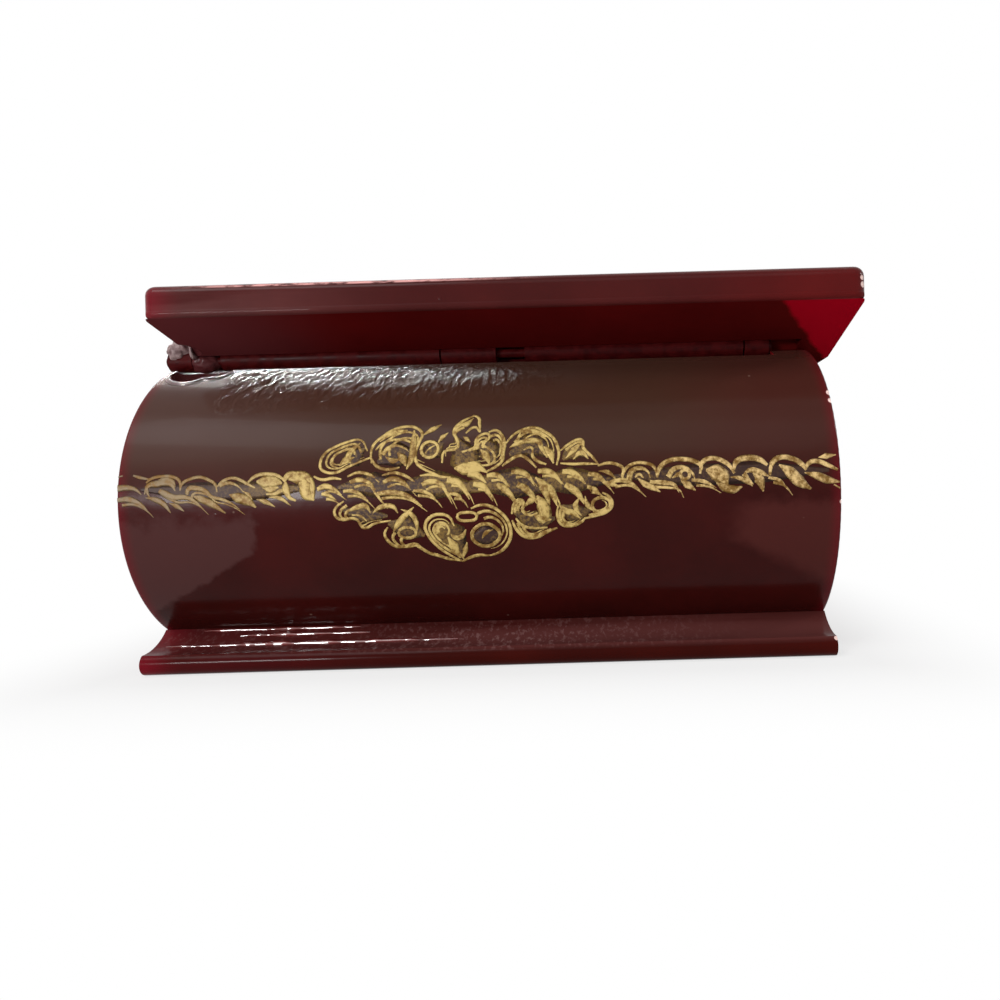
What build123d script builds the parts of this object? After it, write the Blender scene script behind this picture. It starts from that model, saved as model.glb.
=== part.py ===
"""A small lacquered casket with bulging long sides, flat ends and an overhanging lid.

The lid is hinged along the groove under its back edge. X runs along the box, the hinged side faces -Y and Z is up.
The origin is at the middle of the body's underside, and the lid is stored as it is seen, slipped along its hinge.
"""

import os
from math import atan2, cos, hypot, sin, sqrt

from build123d import *

os.makedirs("parts", exist_ok=True)

# Overall sizes, in millimetres
box_length = 118.0
box_depth = 92.0
body_height = 54.6

# Base board
base_inset = 4.4
base_thickness = 6.6
base_edge = 3.5
base_bullnose = 1.6
cove_hollow = 0.8

# Bulging walls: the outside is an arc from the foot over the crest to the rim
crest_height = 29.4
foot_inset = 12.0
rim_inset = 18.3
wall = 4.0
rim_width = 4.0
foot_width = 4.6
end_edge_round = 0.5

# Flat ends and inner panels
end_thickness = 4.0
floor_thickness = 2.0
lining_thickness = 1.2

# Lid
lid_proud = 0.4
lid_edge = 5.4
lid_rail_height = 4.5
lid_end_rail = 4.0
lid_corner_radius = 2.0
lid_top_round = 1.6
lid_bottom_round = 0.7
lid_slip = 5.0

# Hinge, from the left end to short of the right one
hinge_from_right = 8.0
barrel_radius = 1.9
pin_radius = 0.8
pin_head_radius = 1.3
pin_head_length = 0.7
end_barrel_length = 4.4
middle_barrel_length = 10.0
leaf_thickness = 0.6
leaf_margin = 0.8
nail_radius = 0.45
nail_head_radius = 0.8
nail_length = 2.8
nail_margin = 5.0
body_nail_count = 6
lid_nail_count = 5

# Clearances
glue_gap = 0.04
lid_gap = 0.3
running_gap = 0.3
pin_clearance = 0.05

# Chips at the left end of the back: scoops, each with its radius, its place and how deep it bites
rim_chip_radius = 4.8
rim_chip_from_end = 5.4
rim_chip_bite = 2.6
side_chip_radius = 3.6
side_chip_from_end = 9.4
side_chip_bite = 1.3
lid_chip_radius = 3.0
lid_chip_from_edge = 12.0
lid_chip_bite = 1.2

# Places that follow from the sizes above
end_x = box_length / 2
crest_y = box_depth / 2
base_y = crest_y - base_inset
lid_edge_y = crest_y + lid_proud
foot_y = crest_y - foot_inset
rim_y = crest_y - rim_inset
rim_inner_y = rim_y - rim_width
foot_inner_y = foot_y - foot_width
inner_end_x = end_x - end_thickness
lid_bottom = body_height + lid_gap
board_bottom = lid_bottom + lid_rail_height
lid_start_x = lid_slip - end_x
rail_tip_y = lid_edge_y - lid_bottom_round

# Rims and rails meet on faces that slope down inwards, along the slant of the lid's underside
rim_slope = lid_rail_height / (rail_tip_y - rim_y)
rim_angle = atan2(lid_rail_height, rail_tip_y - rim_y)
rim_fall = rim_slope * rim_width
end_height = body_height - rim_fall
wall_height = end_height - base_thickness

# The pin lies where that slant, drawn on outwards, clears the rim by a barrel's radius
hinge_y = -(rim_y + barrel_radius)
hinge_z = body_height + rim_slope * barrel_radius + lid_gap / 2
hinge_end_x = end_x - hinge_from_right
seat_radius = barrel_radius + running_gap
seat_end_x = hinge_end_x + pin_head_length + running_gap
leaf_reach = (-hinge_y - rim_inner_y - leaf_margin) / cos(rim_angle)
nail_reach = (seat_radius + leaf_reach) / 2


def circle_through(first, second, third):
    """Centre and radius of the circle through three points of a section, each given as (y, z)."""
    (ay, az), (by, bz), (cy, cz) = first, second, third
    area = 2 * (ay * (bz - cz) + by * (cz - az) + cy * (az - bz))
    a, b, c = ay**2 + az**2, by**2 + bz**2, cy**2 + cz**2
    centre_y = (a * (bz - cz) + b * (cz - az) + c * (az - bz)) / area
    centre_z = (a * (cy - by) + b * (ay - cy) + c * (by - ay)) / area
    return centre_y, centre_z, hypot(ay - centre_y, az - centre_z)


bulge_y, bulge_z, bulge_radius = circle_through(
    (foot_y, base_thickness), (crest_y, crest_height), (rim_y, body_height)
)


def barrel_spans():
    """X ranges of the barrels as (start, end): those of the body, then those of the slipped lid."""
    left, right = end_barrel_length - end_x, hinge_end_x - end_barrel_length
    middle = (hinge_end_x - end_x) / 2
    middle_start, middle_end = middle - middle_barrel_length / 2, middle + middle_barrel_length / 2
    body = [(-end_x, left), (middle_start, middle_end), (right, hinge_end_x)]
    bays = [(left, middle_start), (middle_end, right)]
    lid = [(start + running_gap + lid_slip, end - running_gap) for start, end in bays]
    return body, lid


def spaced(start, end, count):
    """Evenly spaced places along X between two ends, a nail's margin in from each."""
    first, last = start + nail_margin, end - nail_margin
    return [first + (last - first) * i / (count - 1) for i in range(count)]


body_barrels, lid_barrels = barrel_spans()
body_leaf_span = (-end_x, hinge_end_x)
lid_leaf_span = (lid_barrels[0][0], lid_barrels[-1][1])
body_nail_x = spaced(*body_leaf_span, body_nail_count)
lid_nail_x = spaced(*lid_leaf_span, lid_nail_count)

# Section of the front wall: the outer arc, less the hollow that follows it inside
with BuildSketch(Plane.YZ) as wall_profile:
    with BuildLine():
        ThreePointArc((foot_y, base_thickness), (crest_y, crest_height), (rim_y, body_height))
        Polyline(
            (rim_y, body_height),
            (rim_inner_y, end_height),
            (foot_inner_y, base_thickness),
            (foot_y, base_thickness),
        )
    make_face()
    with Locations((bulge_y, bulge_z)):
        Circle(bulge_radius - wall, mode=Mode.SUBTRACT)

# Section of an end panel: what lies between the two walls, a glue line short of them
with BuildSketch(Plane.YZ) as end_profile:
    Polygon(
        (0, base_thickness),
        (foot_inner_y - glue_gap, base_thickness),
        (rim_inner_y - glue_gap, end_height),
        (0, end_height),
        align=None,
    )
    with Locations((bulge_y, bulge_z)):
        Circle(bulge_radius - wall - glue_gap)
    with Locations((0, base_thickness)):
        Rectangle(crest_y, wall_height, align=(Align.MIN, Align.MIN), mode=Mode.INTERSECT)
    mirror(about=Plane.YZ)

# Section of the base board: flat below, bullnosed edges, and a cove that rises to each wall
with BuildSketch(Plane.YZ) as base_profile:
    with BuildLine():
        Line((0, 0), (base_y - base_bullnose, 0))
        ThreePointArc(
            (base_y - base_bullnose, 0),
            (base_y, base_edge / 2),
            (base_y - base_bullnose / 2, base_edge),
        )
        SagittaArc((base_y - base_bullnose / 2, base_edge), (foot_y, base_thickness), cove_hollow)
        Polyline((foot_y, base_thickness), (0, base_thickness), (0, 0))
    make_face()
    mirror(about=Plane.YZ)

# Section of the lid's front rail: a wedge that slants from the lid's edge down to its inner face
with BuildSketch(Plane.YZ) as rail_profile:
    Polygon(
        (rail_tip_y, board_bottom),
        (rim_inner_y, lid_bottom - rim_fall),
        (rim_inner_y, board_bottom),
        align=None,
    )

# Base board
with BuildPart() as base_board:
    extrude(base_profile.sketch, amount=end_x, both=True)
base_board.part.label = "base_board"

# Front wall, its two end edges eased
with BuildPart() as front_wall:
    extrude(wall_profile.sketch, amount=end_x, both=True)
    outer_arcs = front_wall.edges().filter_by(lambda edge: edge.geom_type == GeomType.CIRCLE)
    fillet(outer_arcs.filter_by(lambda edge: edge.radius > bulge_radius - wall / 2), end_edge_round)
front_wall.part.label = "front_wall"


def rim_face(outward):
    """Face that a hinge leaf lies flush with, its origin level with the pin and its Y along the slope.

    outward is 1 for the body's rim, which looks up, and -1 for the lid's rail, which looks down on it.
    """
    return Plane(
        origin=(0, hinge_y, hinge_z - outward * lid_gap / 2),
        x_dir=(1, 0, 0),
        z_dir=(0, outward * sin(rim_angle), outward * cos(rim_angle)),
    )


def hinge_seat(outward, end_shift, leaf_span, nail_places):
    """Build what a rim or rail loses to the hinge: the barrels' groove, a leaf's recess and its nail holes.

    The groove runs from the body's left end to past the last barrel, and on by end_shift.
    """
    start, end = leaf_span
    with BuildPart() as seat:
        with BuildSketch(Plane.YZ.offset(-end_x)):
            with Locations((hinge_y, hinge_z)):
                Circle(seat_radius)
        extrude(amount=seat_end_x + end_shift + end_x)
        with BuildSketch(rim_face(outward)):
            with Locations(((start + end) / 2, outward * leaf_reach / 2)):
                Rectangle(end - start + 2 * glue_gap, leaf_reach + 2 * glue_gap)
        extrude(amount=-(leaf_thickness + glue_gap))
        with BuildSketch(rim_face(outward)):
            with Locations([(x, outward * nail_reach) for x in nail_places]):
                Circle(nail_radius + glue_gap)
        extrude(amount=-(nail_length + glue_gap))
    return seat.part


def chip_centre(from_end, radius, bite):
    """Centre of a scoop that bites into the bulge at the height of the rim, a distance in from the left end."""
    reach = bulge_radius + radius - bite
    return (from_end - end_x, -(bulge_y + sqrt(reach**2 - (body_height - bulge_z) ** 2)), body_height)


# Back wall, with the groove for the barrels, the recess and holes for their leaf, and the chipped corner
with BuildPart() as back_wall:
    mirror(front_wall.part, about=Plane.XZ)
    add(hinge_seat(1, 0, body_leaf_span, body_nail_x), mode=Mode.SUBTRACT)
    with Locations(chip_centre(rim_chip_from_end, rim_chip_radius, rim_chip_bite)):
        Sphere(rim_chip_radius, mode=Mode.SUBTRACT)
    with Locations(chip_centre(side_chip_from_end, side_chip_radius, side_chip_bite)):
        Sphere(side_chip_radius, mode=Mode.SUBTRACT)
back_wall.part.label = "back_wall"

# End panels, set between the walls and flush with their ends
with BuildPart() as end_panel_right:
    extrude(end_profile.sketch.moved(Location((inner_end_x, 0, 0))), amount=end_thickness)
end_panel_right.part.label = "end_panel_right"

with BuildPart() as end_panel_left:
    mirror(end_panel_right.part, about=Plane.YZ)
end_panel_left.part.label = "end_panel_left"

# Floor panel, on the base board between the walls
with BuildPart() as floor_panel:
    lean = (foot_inner_y - rim_inner_y) * floor_thickness / wall_height
    with BuildSketch(Plane.XY.offset(base_thickness)):
        Rectangle(2 * (inner_end_x - glue_gap), 2 * (foot_inner_y - lean - glue_gap))
    extrude(amount=floor_thickness)
floor_panel.part.label = "floor_panel"

# Lid board, rounded all round its top edge
with BuildPart() as lid_board:
    with BuildSketch(Plane.XY.offset(board_bottom)):
        with Locations((lid_slip, 0)):
            RectangleRounded(box_length, 2 * lid_edge_y, lid_corner_radius)
    extrude(amount=lid_edge)
    fillet(lid_board.edges().group_by(Axis.Z)[-1], min(lid_top_round, 0.76 * lid_edge))
    fillet(lid_board.edges().group_by(Axis.Z)[0], min(lid_bottom_round, 0.2 * lid_edge))
lid_board.part.label = "lid_board"

# Front rail of the lid, its outer corners following the board's
with BuildPart() as lid_rail_front:
    extrude(rail_profile.sketch.moved(Location((lid_slip, 0, 0))), amount=end_x, both=True)
    with BuildSketch(Plane.XY.offset(lid_bottom - rim_fall)):
        with Locations((lid_slip, 0)):
            RectangleRounded(box_length, 2 * lid_edge_y, lid_corner_radius)
    extrude(amount=lid_rail_height + rim_fall, mode=Mode.INTERSECT)
lid_rail_front.part.label = "lid_rail_front"

# Back rail, with the groove, the recess and holes for the lid's leaf, and the chipped corner
lid_chip_rise = lid_chip_radius - lid_chip_bite
with BuildPart() as lid_rail_back:
    mirror(lid_rail_front.part, about=Plane.XZ)
    add(hinge_seat(-1, lid_slip, lid_leaf_span, lid_nail_x), mode=Mode.SUBTRACT)
    with Locations(
        (
            lid_start_x,
            lid_chip_from_edge - lid_edge_y,
            board_bottom - rim_slope * (lid_chip_from_edge - lid_bottom_round) - lid_chip_rise,
        )
    ):
        Sphere(lid_chip_radius, mode=Mode.SUBTRACT)
lid_rail_back.part.label = "lid_rail_back"

# End rails of the lid, between the long rails
with BuildPart() as lid_end_left:
    with BuildSketch(Plane.XY.offset(lid_bottom - rim_fall)):
        with Locations((lid_start_x, 0)):
            Rectangle(lid_end_rail, 2 * (rim_inner_y - glue_gap), align=(Align.MIN, Align.CENTER))
    extrude(amount=lid_rail_height + rim_fall)
lid_end_left.part.label = "lid_end_left"

with BuildPart() as lid_end_right:
    mirror(lid_end_left.part, about=Plane.YZ.offset(lid_slip))
lid_end_right.part.label = "lid_end_right"

# Lining of the lid, inside its frame
with BuildPart() as lid_lining:
    with BuildSketch(Plane.XY.offset(board_bottom)):
        with Locations((lid_slip, 0)):
            Rectangle(2 * (end_x - lid_end_rail - glue_gap), 2 * (rim_inner_y - glue_gap))
    extrude(amount=-lining_thickness)
lid_lining.part.label = "lid_lining"


def hinge_leaf(outward, barrels, plate_span, nail_places):
    """Build one leaf: a strip flush with its face, countersunk for its nails, and its bored barrels."""
    start, end = plate_span
    with BuildPart() as leaf:
        with BuildSketch(rim_face(outward)):
            with Locations(((start + end) / 2, outward * leaf_reach / 2)):
                Rectangle(end - start, leaf_reach)
        extrude(amount=-leaf_thickness)
        with BuildSketch(Plane.YZ.offset(start)):
            with Locations((hinge_y, hinge_z)):
                Circle(seat_radius)
        extrude(amount=end - start, mode=Mode.SUBTRACT)
        for barrel_start, barrel_end in barrels:
            length = barrel_end - barrel_start
            with BuildSketch(rim_face(outward)):
                with Locations((barrel_start + length / 2, outward * (seat_radius + running_gap) / 2)):
                    Rectangle(length, seat_radius + running_gap)
            extrude(amount=-leaf_thickness)
            with BuildSketch(Plane.YZ.offset(barrel_start)):
                with Locations((hinge_y, hinge_z)):
                    Circle(barrel_radius)
            extrude(amount=length)
        with BuildSketch(Plane.YZ.offset(start)):
            with Locations((hinge_y, hinge_z)):
                Circle(pin_radius + pin_clearance)
        extrude(amount=end - start, mode=Mode.SUBTRACT)
        with Locations(rim_face(outward)):
            with Locations([(x, outward * nail_reach) for x in nail_places]):
                CounterSinkHole(
                    nail_radius + glue_gap,
                    nail_head_radius + glue_gap,
                    depth=leaf_thickness,
                    counter_sink_angle=90,
                )
    return leaf


def hinge_nails(outward, places):
    """Build a row of countersunk nails, their heads flush with the leaf that they hold."""
    head_height = nail_head_radius - nail_radius
    with BuildPart() as nails:
        with Locations(rim_face(outward)):
            with Locations([(x, outward * nail_reach, 0) for x in places]):
                Cylinder(nail_radius, nail_length, align=(Align.CENTER, Align.CENTER, Align.MAX))
                Cone(
                    nail_radius,
                    nail_head_radius,
                    head_height,
                    align=(Align.CENTER, Align.CENTER, Align.MAX),
                )
    return nails


# Leaves of the hinge
body_hinge_leaf = hinge_leaf(1, body_barrels, body_leaf_span, body_nail_x)
body_hinge_leaf.part.label = "body_hinge_leaf"

lid_hinge_leaf = hinge_leaf(-1, lid_barrels, lid_leaf_span, lid_nail_x)
lid_hinge_leaf.part.label = "lid_hinge_leaf"

# Nails of each leaf
body_leaf_nails = hinge_nails(1, body_nail_x)
body_leaf_nails.part.label = "body_leaf_nails"

lid_leaf_nails = hinge_nails(-1, lid_nail_x)
lid_leaf_nails.part.label = "lid_leaf_nails"

# Hinge pin, its ends peened over outside the end barrels
with BuildPart() as hinge_pin:
    with BuildSketch(Plane.YZ.offset(-end_x)):
        with Locations((hinge_y, hinge_z)):
            Circle(pin_radius)
    extrude(amount=hinge_end_x + end_x)
    with BuildSketch(Plane.YZ.offset(hinge_end_x), Plane.YZ.offset(-end_x - pin_head_length)):
        with Locations((hinge_y, hinge_z)):
            Circle(pin_head_radius)
    extrude(amount=pin_head_length)
    head_edges = hinge_pin.edges().filter_by(GeomType.CIRCLE).group_by(Axis.X)
    fillet(head_edges[0] + head_edges[-1], min(0.4 * pin_head_radius, 0.7 * pin_head_length))
hinge_pin.part.label = "hinge_pin"

export_step(base_board.part, "parts/base_board.step")
export_step(back_wall.part, "parts/back_wall.step")
export_step(front_wall.part, "parts/front_wall.step")
export_step(end_panel_left.part, "parts/end_panel_left.step")
export_step(end_panel_right.part, "parts/end_panel_right.step")
export_step(floor_panel.part, "parts/floor_panel.step")
export_step(body_hinge_leaf.part, "parts/body_hinge_leaf.step")
export_step(body_leaf_nails.part, "parts/body_leaf_nails.step")
export_step(hinge_pin.part, "parts/hinge_pin.step")
export_step(lid_board.part, "parts/lid_board.step")
export_step(lid_rail_back.part, "parts/lid_rail_back.step")
export_step(lid_rail_front.part, "parts/lid_rail_front.step")
export_step(lid_end_left.part, "parts/lid_end_left.step")
export_step(lid_end_right.part, "parts/lid_end_right.step")
export_step(lid_lining.part, "parts/lid_lining.step")
export_step(lid_hinge_leaf.part, "parts/lid_hinge_leaf.step")
export_step(lid_leaf_nails.part, "parts/lid_leaf_nails.step")
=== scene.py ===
# %% [markdown]
# # A lacquered casket
# The real object is a palm-sized wooden casket with two bulging sides, flat ends and an overhanging lid.
# Its maker coated the wood with dark red lacquer and painted a band of gold scrolls along the sides.
# The wooden parts and the hinge come from a CAD model, in metres, and are a fixed frame here.
# Blender gives them their finish and adds what a brush left on them, so nothing below moves a CAD part.

# %% Load the frame
import math
from functools import partial, reduce

import bmesh
import bpy
from mathutils import Matrix, Vector, noise


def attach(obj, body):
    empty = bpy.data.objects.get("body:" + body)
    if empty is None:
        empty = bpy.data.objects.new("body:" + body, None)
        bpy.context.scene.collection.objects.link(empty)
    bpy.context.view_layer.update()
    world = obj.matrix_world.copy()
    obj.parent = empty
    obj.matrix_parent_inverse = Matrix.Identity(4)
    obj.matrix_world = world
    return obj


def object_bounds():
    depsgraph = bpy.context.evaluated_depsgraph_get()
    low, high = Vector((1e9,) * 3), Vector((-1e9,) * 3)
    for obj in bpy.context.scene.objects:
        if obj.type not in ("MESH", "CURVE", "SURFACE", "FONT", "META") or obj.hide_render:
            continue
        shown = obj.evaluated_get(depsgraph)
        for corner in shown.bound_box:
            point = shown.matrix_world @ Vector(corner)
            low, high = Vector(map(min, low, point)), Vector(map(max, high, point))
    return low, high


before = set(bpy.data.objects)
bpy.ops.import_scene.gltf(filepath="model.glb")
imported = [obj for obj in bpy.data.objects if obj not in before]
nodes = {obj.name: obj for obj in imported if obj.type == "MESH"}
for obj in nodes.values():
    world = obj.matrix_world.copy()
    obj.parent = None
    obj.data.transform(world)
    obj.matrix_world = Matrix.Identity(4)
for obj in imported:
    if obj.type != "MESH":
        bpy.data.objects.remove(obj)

MM = 0.001
cad_low, cad_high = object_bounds()
print("CAD box, mm:", [round(size / MM, 1) for size in cad_high - cad_low], "nodes:", len(nodes))

# %% [markdown]
# ## The camera
# A photograph is matched by a lens and a place, not by scaling the object.
# This one was taken close up, about 12 cm from the box and level with its belly, with the box left of the lens axis.
# Shift keeps the axis off centre without turning the camera, so upright lines stay parallel to the frame.
# A small roll follows the photographer's hand.

# %% Camera
SENSOR_WIDTH = 36.0
FOCAL_LENGTH = 25.92
LENS_SHIFT = (-0.115, -0.0104)
NEAREST_SEEN = 5 * MM
CAMERA_PLACE = Vector((22.1, -163.0, 29.4)) * MM
CAMERA_ROLL = math.radians(-1.66)

camera_data = bpy.data.cameras.new("close_up_lens")
camera_data.sensor_width = SENSOR_WIDTH
camera_data.lens = FOCAL_LENGTH
camera_data.shift_x, camera_data.shift_y = LENS_SHIFT
camera_data.clip_start = NEAREST_SEEN
camera = bpy.data.objects.new("close_up_camera", camera_data)
bpy.context.scene.collection.objects.link(camera)
camera.location = CAMERA_PLACE
camera.rotation_euler = (math.pi / 2, 0, 0)
camera.rotation_euler.rotate_axis("Z", CAMERA_ROLL)
bpy.context.scene.camera = camera
print("camera stands", round((cad_low.y - camera.location.y) / MM), "mm in front of the box")

# %% [markdown]
# ## One helper for colours and one for nodes
# Colours are picked on screens as sRGB hex values, but light is added up in linear values, so one function converts.
# A second function adds any shader node with its settings and links, which keeps each material short to read.
# Each material gets this function tied to its own node tree, under the short name add.

# %% Colour and node helpers
def linear(hex_colour):
    """Turn an sRGB hex colour such as "7a1420" into linear RGBA."""
    values = [int(hex_colour[i:i + 2], 16) / 255 for i in (0, 2, 4)]
    return [v / 12.92 if v <= 0.04045 else ((v + 0.055) / 1.055) ** 2.4 for v in values] + [1.0]


def add_node(tree, kind, inputs=(), output=0, **settings):
    """Add one shader node and return one of its outputs.

    Inputs come in the node's own order or by name; a value is set, and a socket is linked.
    """
    node = tree.nodes.new("ShaderNode" + kind)
    for name, value in settings.items():
        setattr(node, name, value)
    for key, value in inputs.items() if isinstance(inputs, dict) else enumerate(inputs):
        if isinstance(value, bpy.types.NodeSocket):
            tree.links.new(value, node.inputs[key])
        else:
            node.inputs[key].default_value = value
    return node.outputs[output] if node.outputs else None


def new_material(name):
    """Make an empty material; return it, the function that adds nodes to it, and its Object coordinates."""
    material = bpy.data.materials.new(name)
    material.use_nodes = True
    material.node_tree.nodes.clear()
    add = partial(add_node, material.node_tree)
    return material, add, add("TexCoord", output="Object")


def per_mm(size):
    """Texture scale at which one feature of a pattern is about this many millimetres wide."""
    return 1 / (size * MM)


print("deep brown as linear light:", [round(v, 4) for v in linear("2a0a08")])

# %% [markdown]
# ## Steps that the materials share
# Wear, dust and the painted sheen lie where several things come together: high enough, far enough along, and facing
# up.
# So one step multiplies any number of such conditions, each rising smoothly between two limits, and a second step
# turns one colour into another as far as they hold. The rest are patterns that several finishes use.
# A Mix node keeps its amount at input 0, and a pair of colours at inputs 6 and 7 with their result at output 2.

# %% Shared steps
SMOOTH = {"interpolation_type": "SMOOTHSTEP"}
COLOURS = {"data_type": "RGBA"}


def where(add, *conditions):
    """How far all conditions hold, from 0 to 1: each is (value, limit for 0, limit for 1), or a share as it is."""
    shares = [add("MapRange", condition, **SMOOTH) if isinstance(condition, tuple) else condition
              for condition in conditions]
    return reduce(lambda first, second: add("Math", [first, second], operation="MULTIPLY"), shares)


def tint(add, colour, other, *conditions):
    """Turn a colour into another as far as all conditions hold."""
    return add("Mix", {0: where(add, *conditions), 6: colour, 7: other}, 2, **COLOURS)


def streaks(add, place, squeeze, size_mm, detail, roughness=0.5):
    """Noise with features this wide, drawn out along each axis that is squeezed by less than 1."""
    squeezed = add("Mapping", {"Vector": place, "Scale": squeeze})
    return add("TexNoise", {"Vector": squeezed, "Scale": per_mm(size_mm), "Detail": detail, "Roughness": roughness})


def clouded(add, place, size_mm, limits, thick, thin):
    """Two colours in clouds of about this size, as a coat has them that lies thicker here than there."""
    clouds = add("TexNoise", {"Vector": place, "Scale": per_mm(size_mm), "Detail": 4, "Roughness": 0.6})
    return tint(add, thick, thin, (clouds, *limits))


def near(add, place, centre, radius):
    """1 inside a ball about a place given in millimetres, fading to 0 over its last tenth of a millimetre."""
    distance = add("VectorMath", [place, Vector(centre) * MM], "Value", operation="DISTANCE")
    return where(add, (distance, (radius + 0.1) * MM, radius * MM))


print("shared steps:", *(step.__name__ for step in (where, tint, streaks, clouded, near)))

# %% [markdown]
# ## The lacquer
# Lacquer is a slightly see-through resin brushed on in many thin coats over a red ground.
# Where the coats are thick it looks almost black-brown, and where they are thin the red shows through.
# Brushed lacquer is never flat like glass: it dries with a gentle orange-peel swell, fine drag lines and dust nibs.
# This one is old, and handling has dulled it to a soft gloss. All that faces up is painted a lighter brown-grey,
# partly bloom and partly painted sheen of the light from above.
# A plain bump would do for one board, but one function with a few colours gives every board its own share of this.

# %% The brushed surface
LACQUER_IOR, COAT_ROUGHNESS = 1.5, 0.04


def lacquer_surface(add, place):
    """Height of the brushed surface in millimetres: swell, orange peel, drag lines along the board and dust nibs."""
    swell = add("TexNoise", {"Vector": place, "Scale": per_mm(5)})
    peel = add("TexNoise", {"Vector": place, "Scale": per_mm(1.3)})
    drag = streaks(add, place, (0.06, 1, 1), 0.9, 3)
    dots = add("TexVoronoi", {"Vector": place, "Scale": per_mm(5)})
    nibs = where(add, (dots, 0.085, 0.02))
    swell, peel, drag, nibs = (add("Math", [pattern, height], operation="MULTIPLY") for pattern, height in (
        (swell, 0.05), (peel, 0.008), (drag, 0.006), (nibs, 0.03)))
    brushed = [add("Math", pair, operation="ADD") for pair in ((swell, peel), (drag, nibs))]
    return add("Math", brushed, operation="ADD")


def finish_lacquer(add, place, colour, rough, specular, coat, grit=0.0):
    """Give a lacquer its surface, with grit of this height in mm where it lifted, its gloss and its output."""
    height = lacquer_surface(add, place)
    if grit:
        grains = streaks(add, place, (1, 0.5, 0.5), 0.55, 2)
        height = add("Math", [grains, grit, height], operation="MULTIPLY_ADD")
    bump = add("Bump", {"Height": height, "Distance": MM, "Strength": 1.0})
    shader = add("BsdfPrincipled", {
        "Base Color": colour, "Roughness": rough, "Normal": bump, "IOR": LACQUER_IOR,
        "Specular IOR Level": specular, "Coat Weight": coat, "Coat Roughness": COAT_ROUGHNESS,
    })
    add("OutputMaterial", {"Surface": shader})


print("lacquer bends light by", LACQUER_IOR, "under a coat as rough as", COAT_ROUGHNESS)


# %% Wear that several boards share
# Places of the three broken spots at the left end of the hinge side: centre and radius in millimetres
RIM_CHIP = ((-53.6, -33.1, 54.6), 4.85)
SIDE_CHIP = ((-49.6, -33.3, 54.6), 3.65)
LID_CHIP = ((-54.0, -34.4, 54.8), 3.05)


def uneven_gloss(add, place, smoothest, spread):
    """Roughness that wanders above its smoothest in patches about 9 mm wide."""
    patches = add("TexNoise", {"Vector": place, "Scale": per_mm(9), "Detail": 3})
    return add("Math", [patches, spread, smoothest], operation="MULTIPLY_ADD")


def lined(add, place, facing, colour):
    """Red lining lacquer on the faces that look towards the middle of the box."""
    flat_place = add("VectorMath", [place, (1, 1, 0)], operation="MULTIPLY")
    outward = add("VectorMath", [facing, flat_place], "Value", operation="DOT_PRODUCT")
    return tint(add, colour, linear("6e1016"), (outward, -2 * MM, -6 * MM))


def broken_open(add, place, colour, rough, chips):
    """Show dark wood inside the scoops of the broken places, its darkness partly painted shade of the hollow."""
    grain = streaks(add, place, (0.12, 1, 1), 0.5, 4)
    # painted shade: the wood is darkened to stand for the shade inside the hollow
    wood_and_painted_shade = tint(add, linear("2c0b0c"), linear("54282a"), grain)
    for centre, radius in chips:
        broken = near(add, place, centre, radius)
        colour = tint(add, colour, wood_and_painted_shade, broken)
        rough = add("Math", [rough, where(add, broken, 0.35)], operation="MAXIMUM")
    return colour, rough


def painted_glints(add, place, colour, glint_spots):
    """Paint pale spots on edges that stand in for glints of the lamps; they are painted highlights."""
    for centre, radius in glint_spots:
        colour = tint(add, colour, linear("e8c8c0"), near(add, place, centre, radius))
    return colour


print("broken spots are", [radius for _, radius in (RIM_CHIP, SIDE_CHIP, LID_CHIP)], "mm in radius")

# %% Lacquer of the walls and ends
# Painted highlights: glint spots on the right edge of the hinge side, centre and radius in millimetres
WALL_GLINTS = (((59.0, -41.0, 44.9), 0.6), ((58.9, -41.9, 43.4), 0.5), ((59.0, -45.9, 26.4), 0.35))


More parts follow.
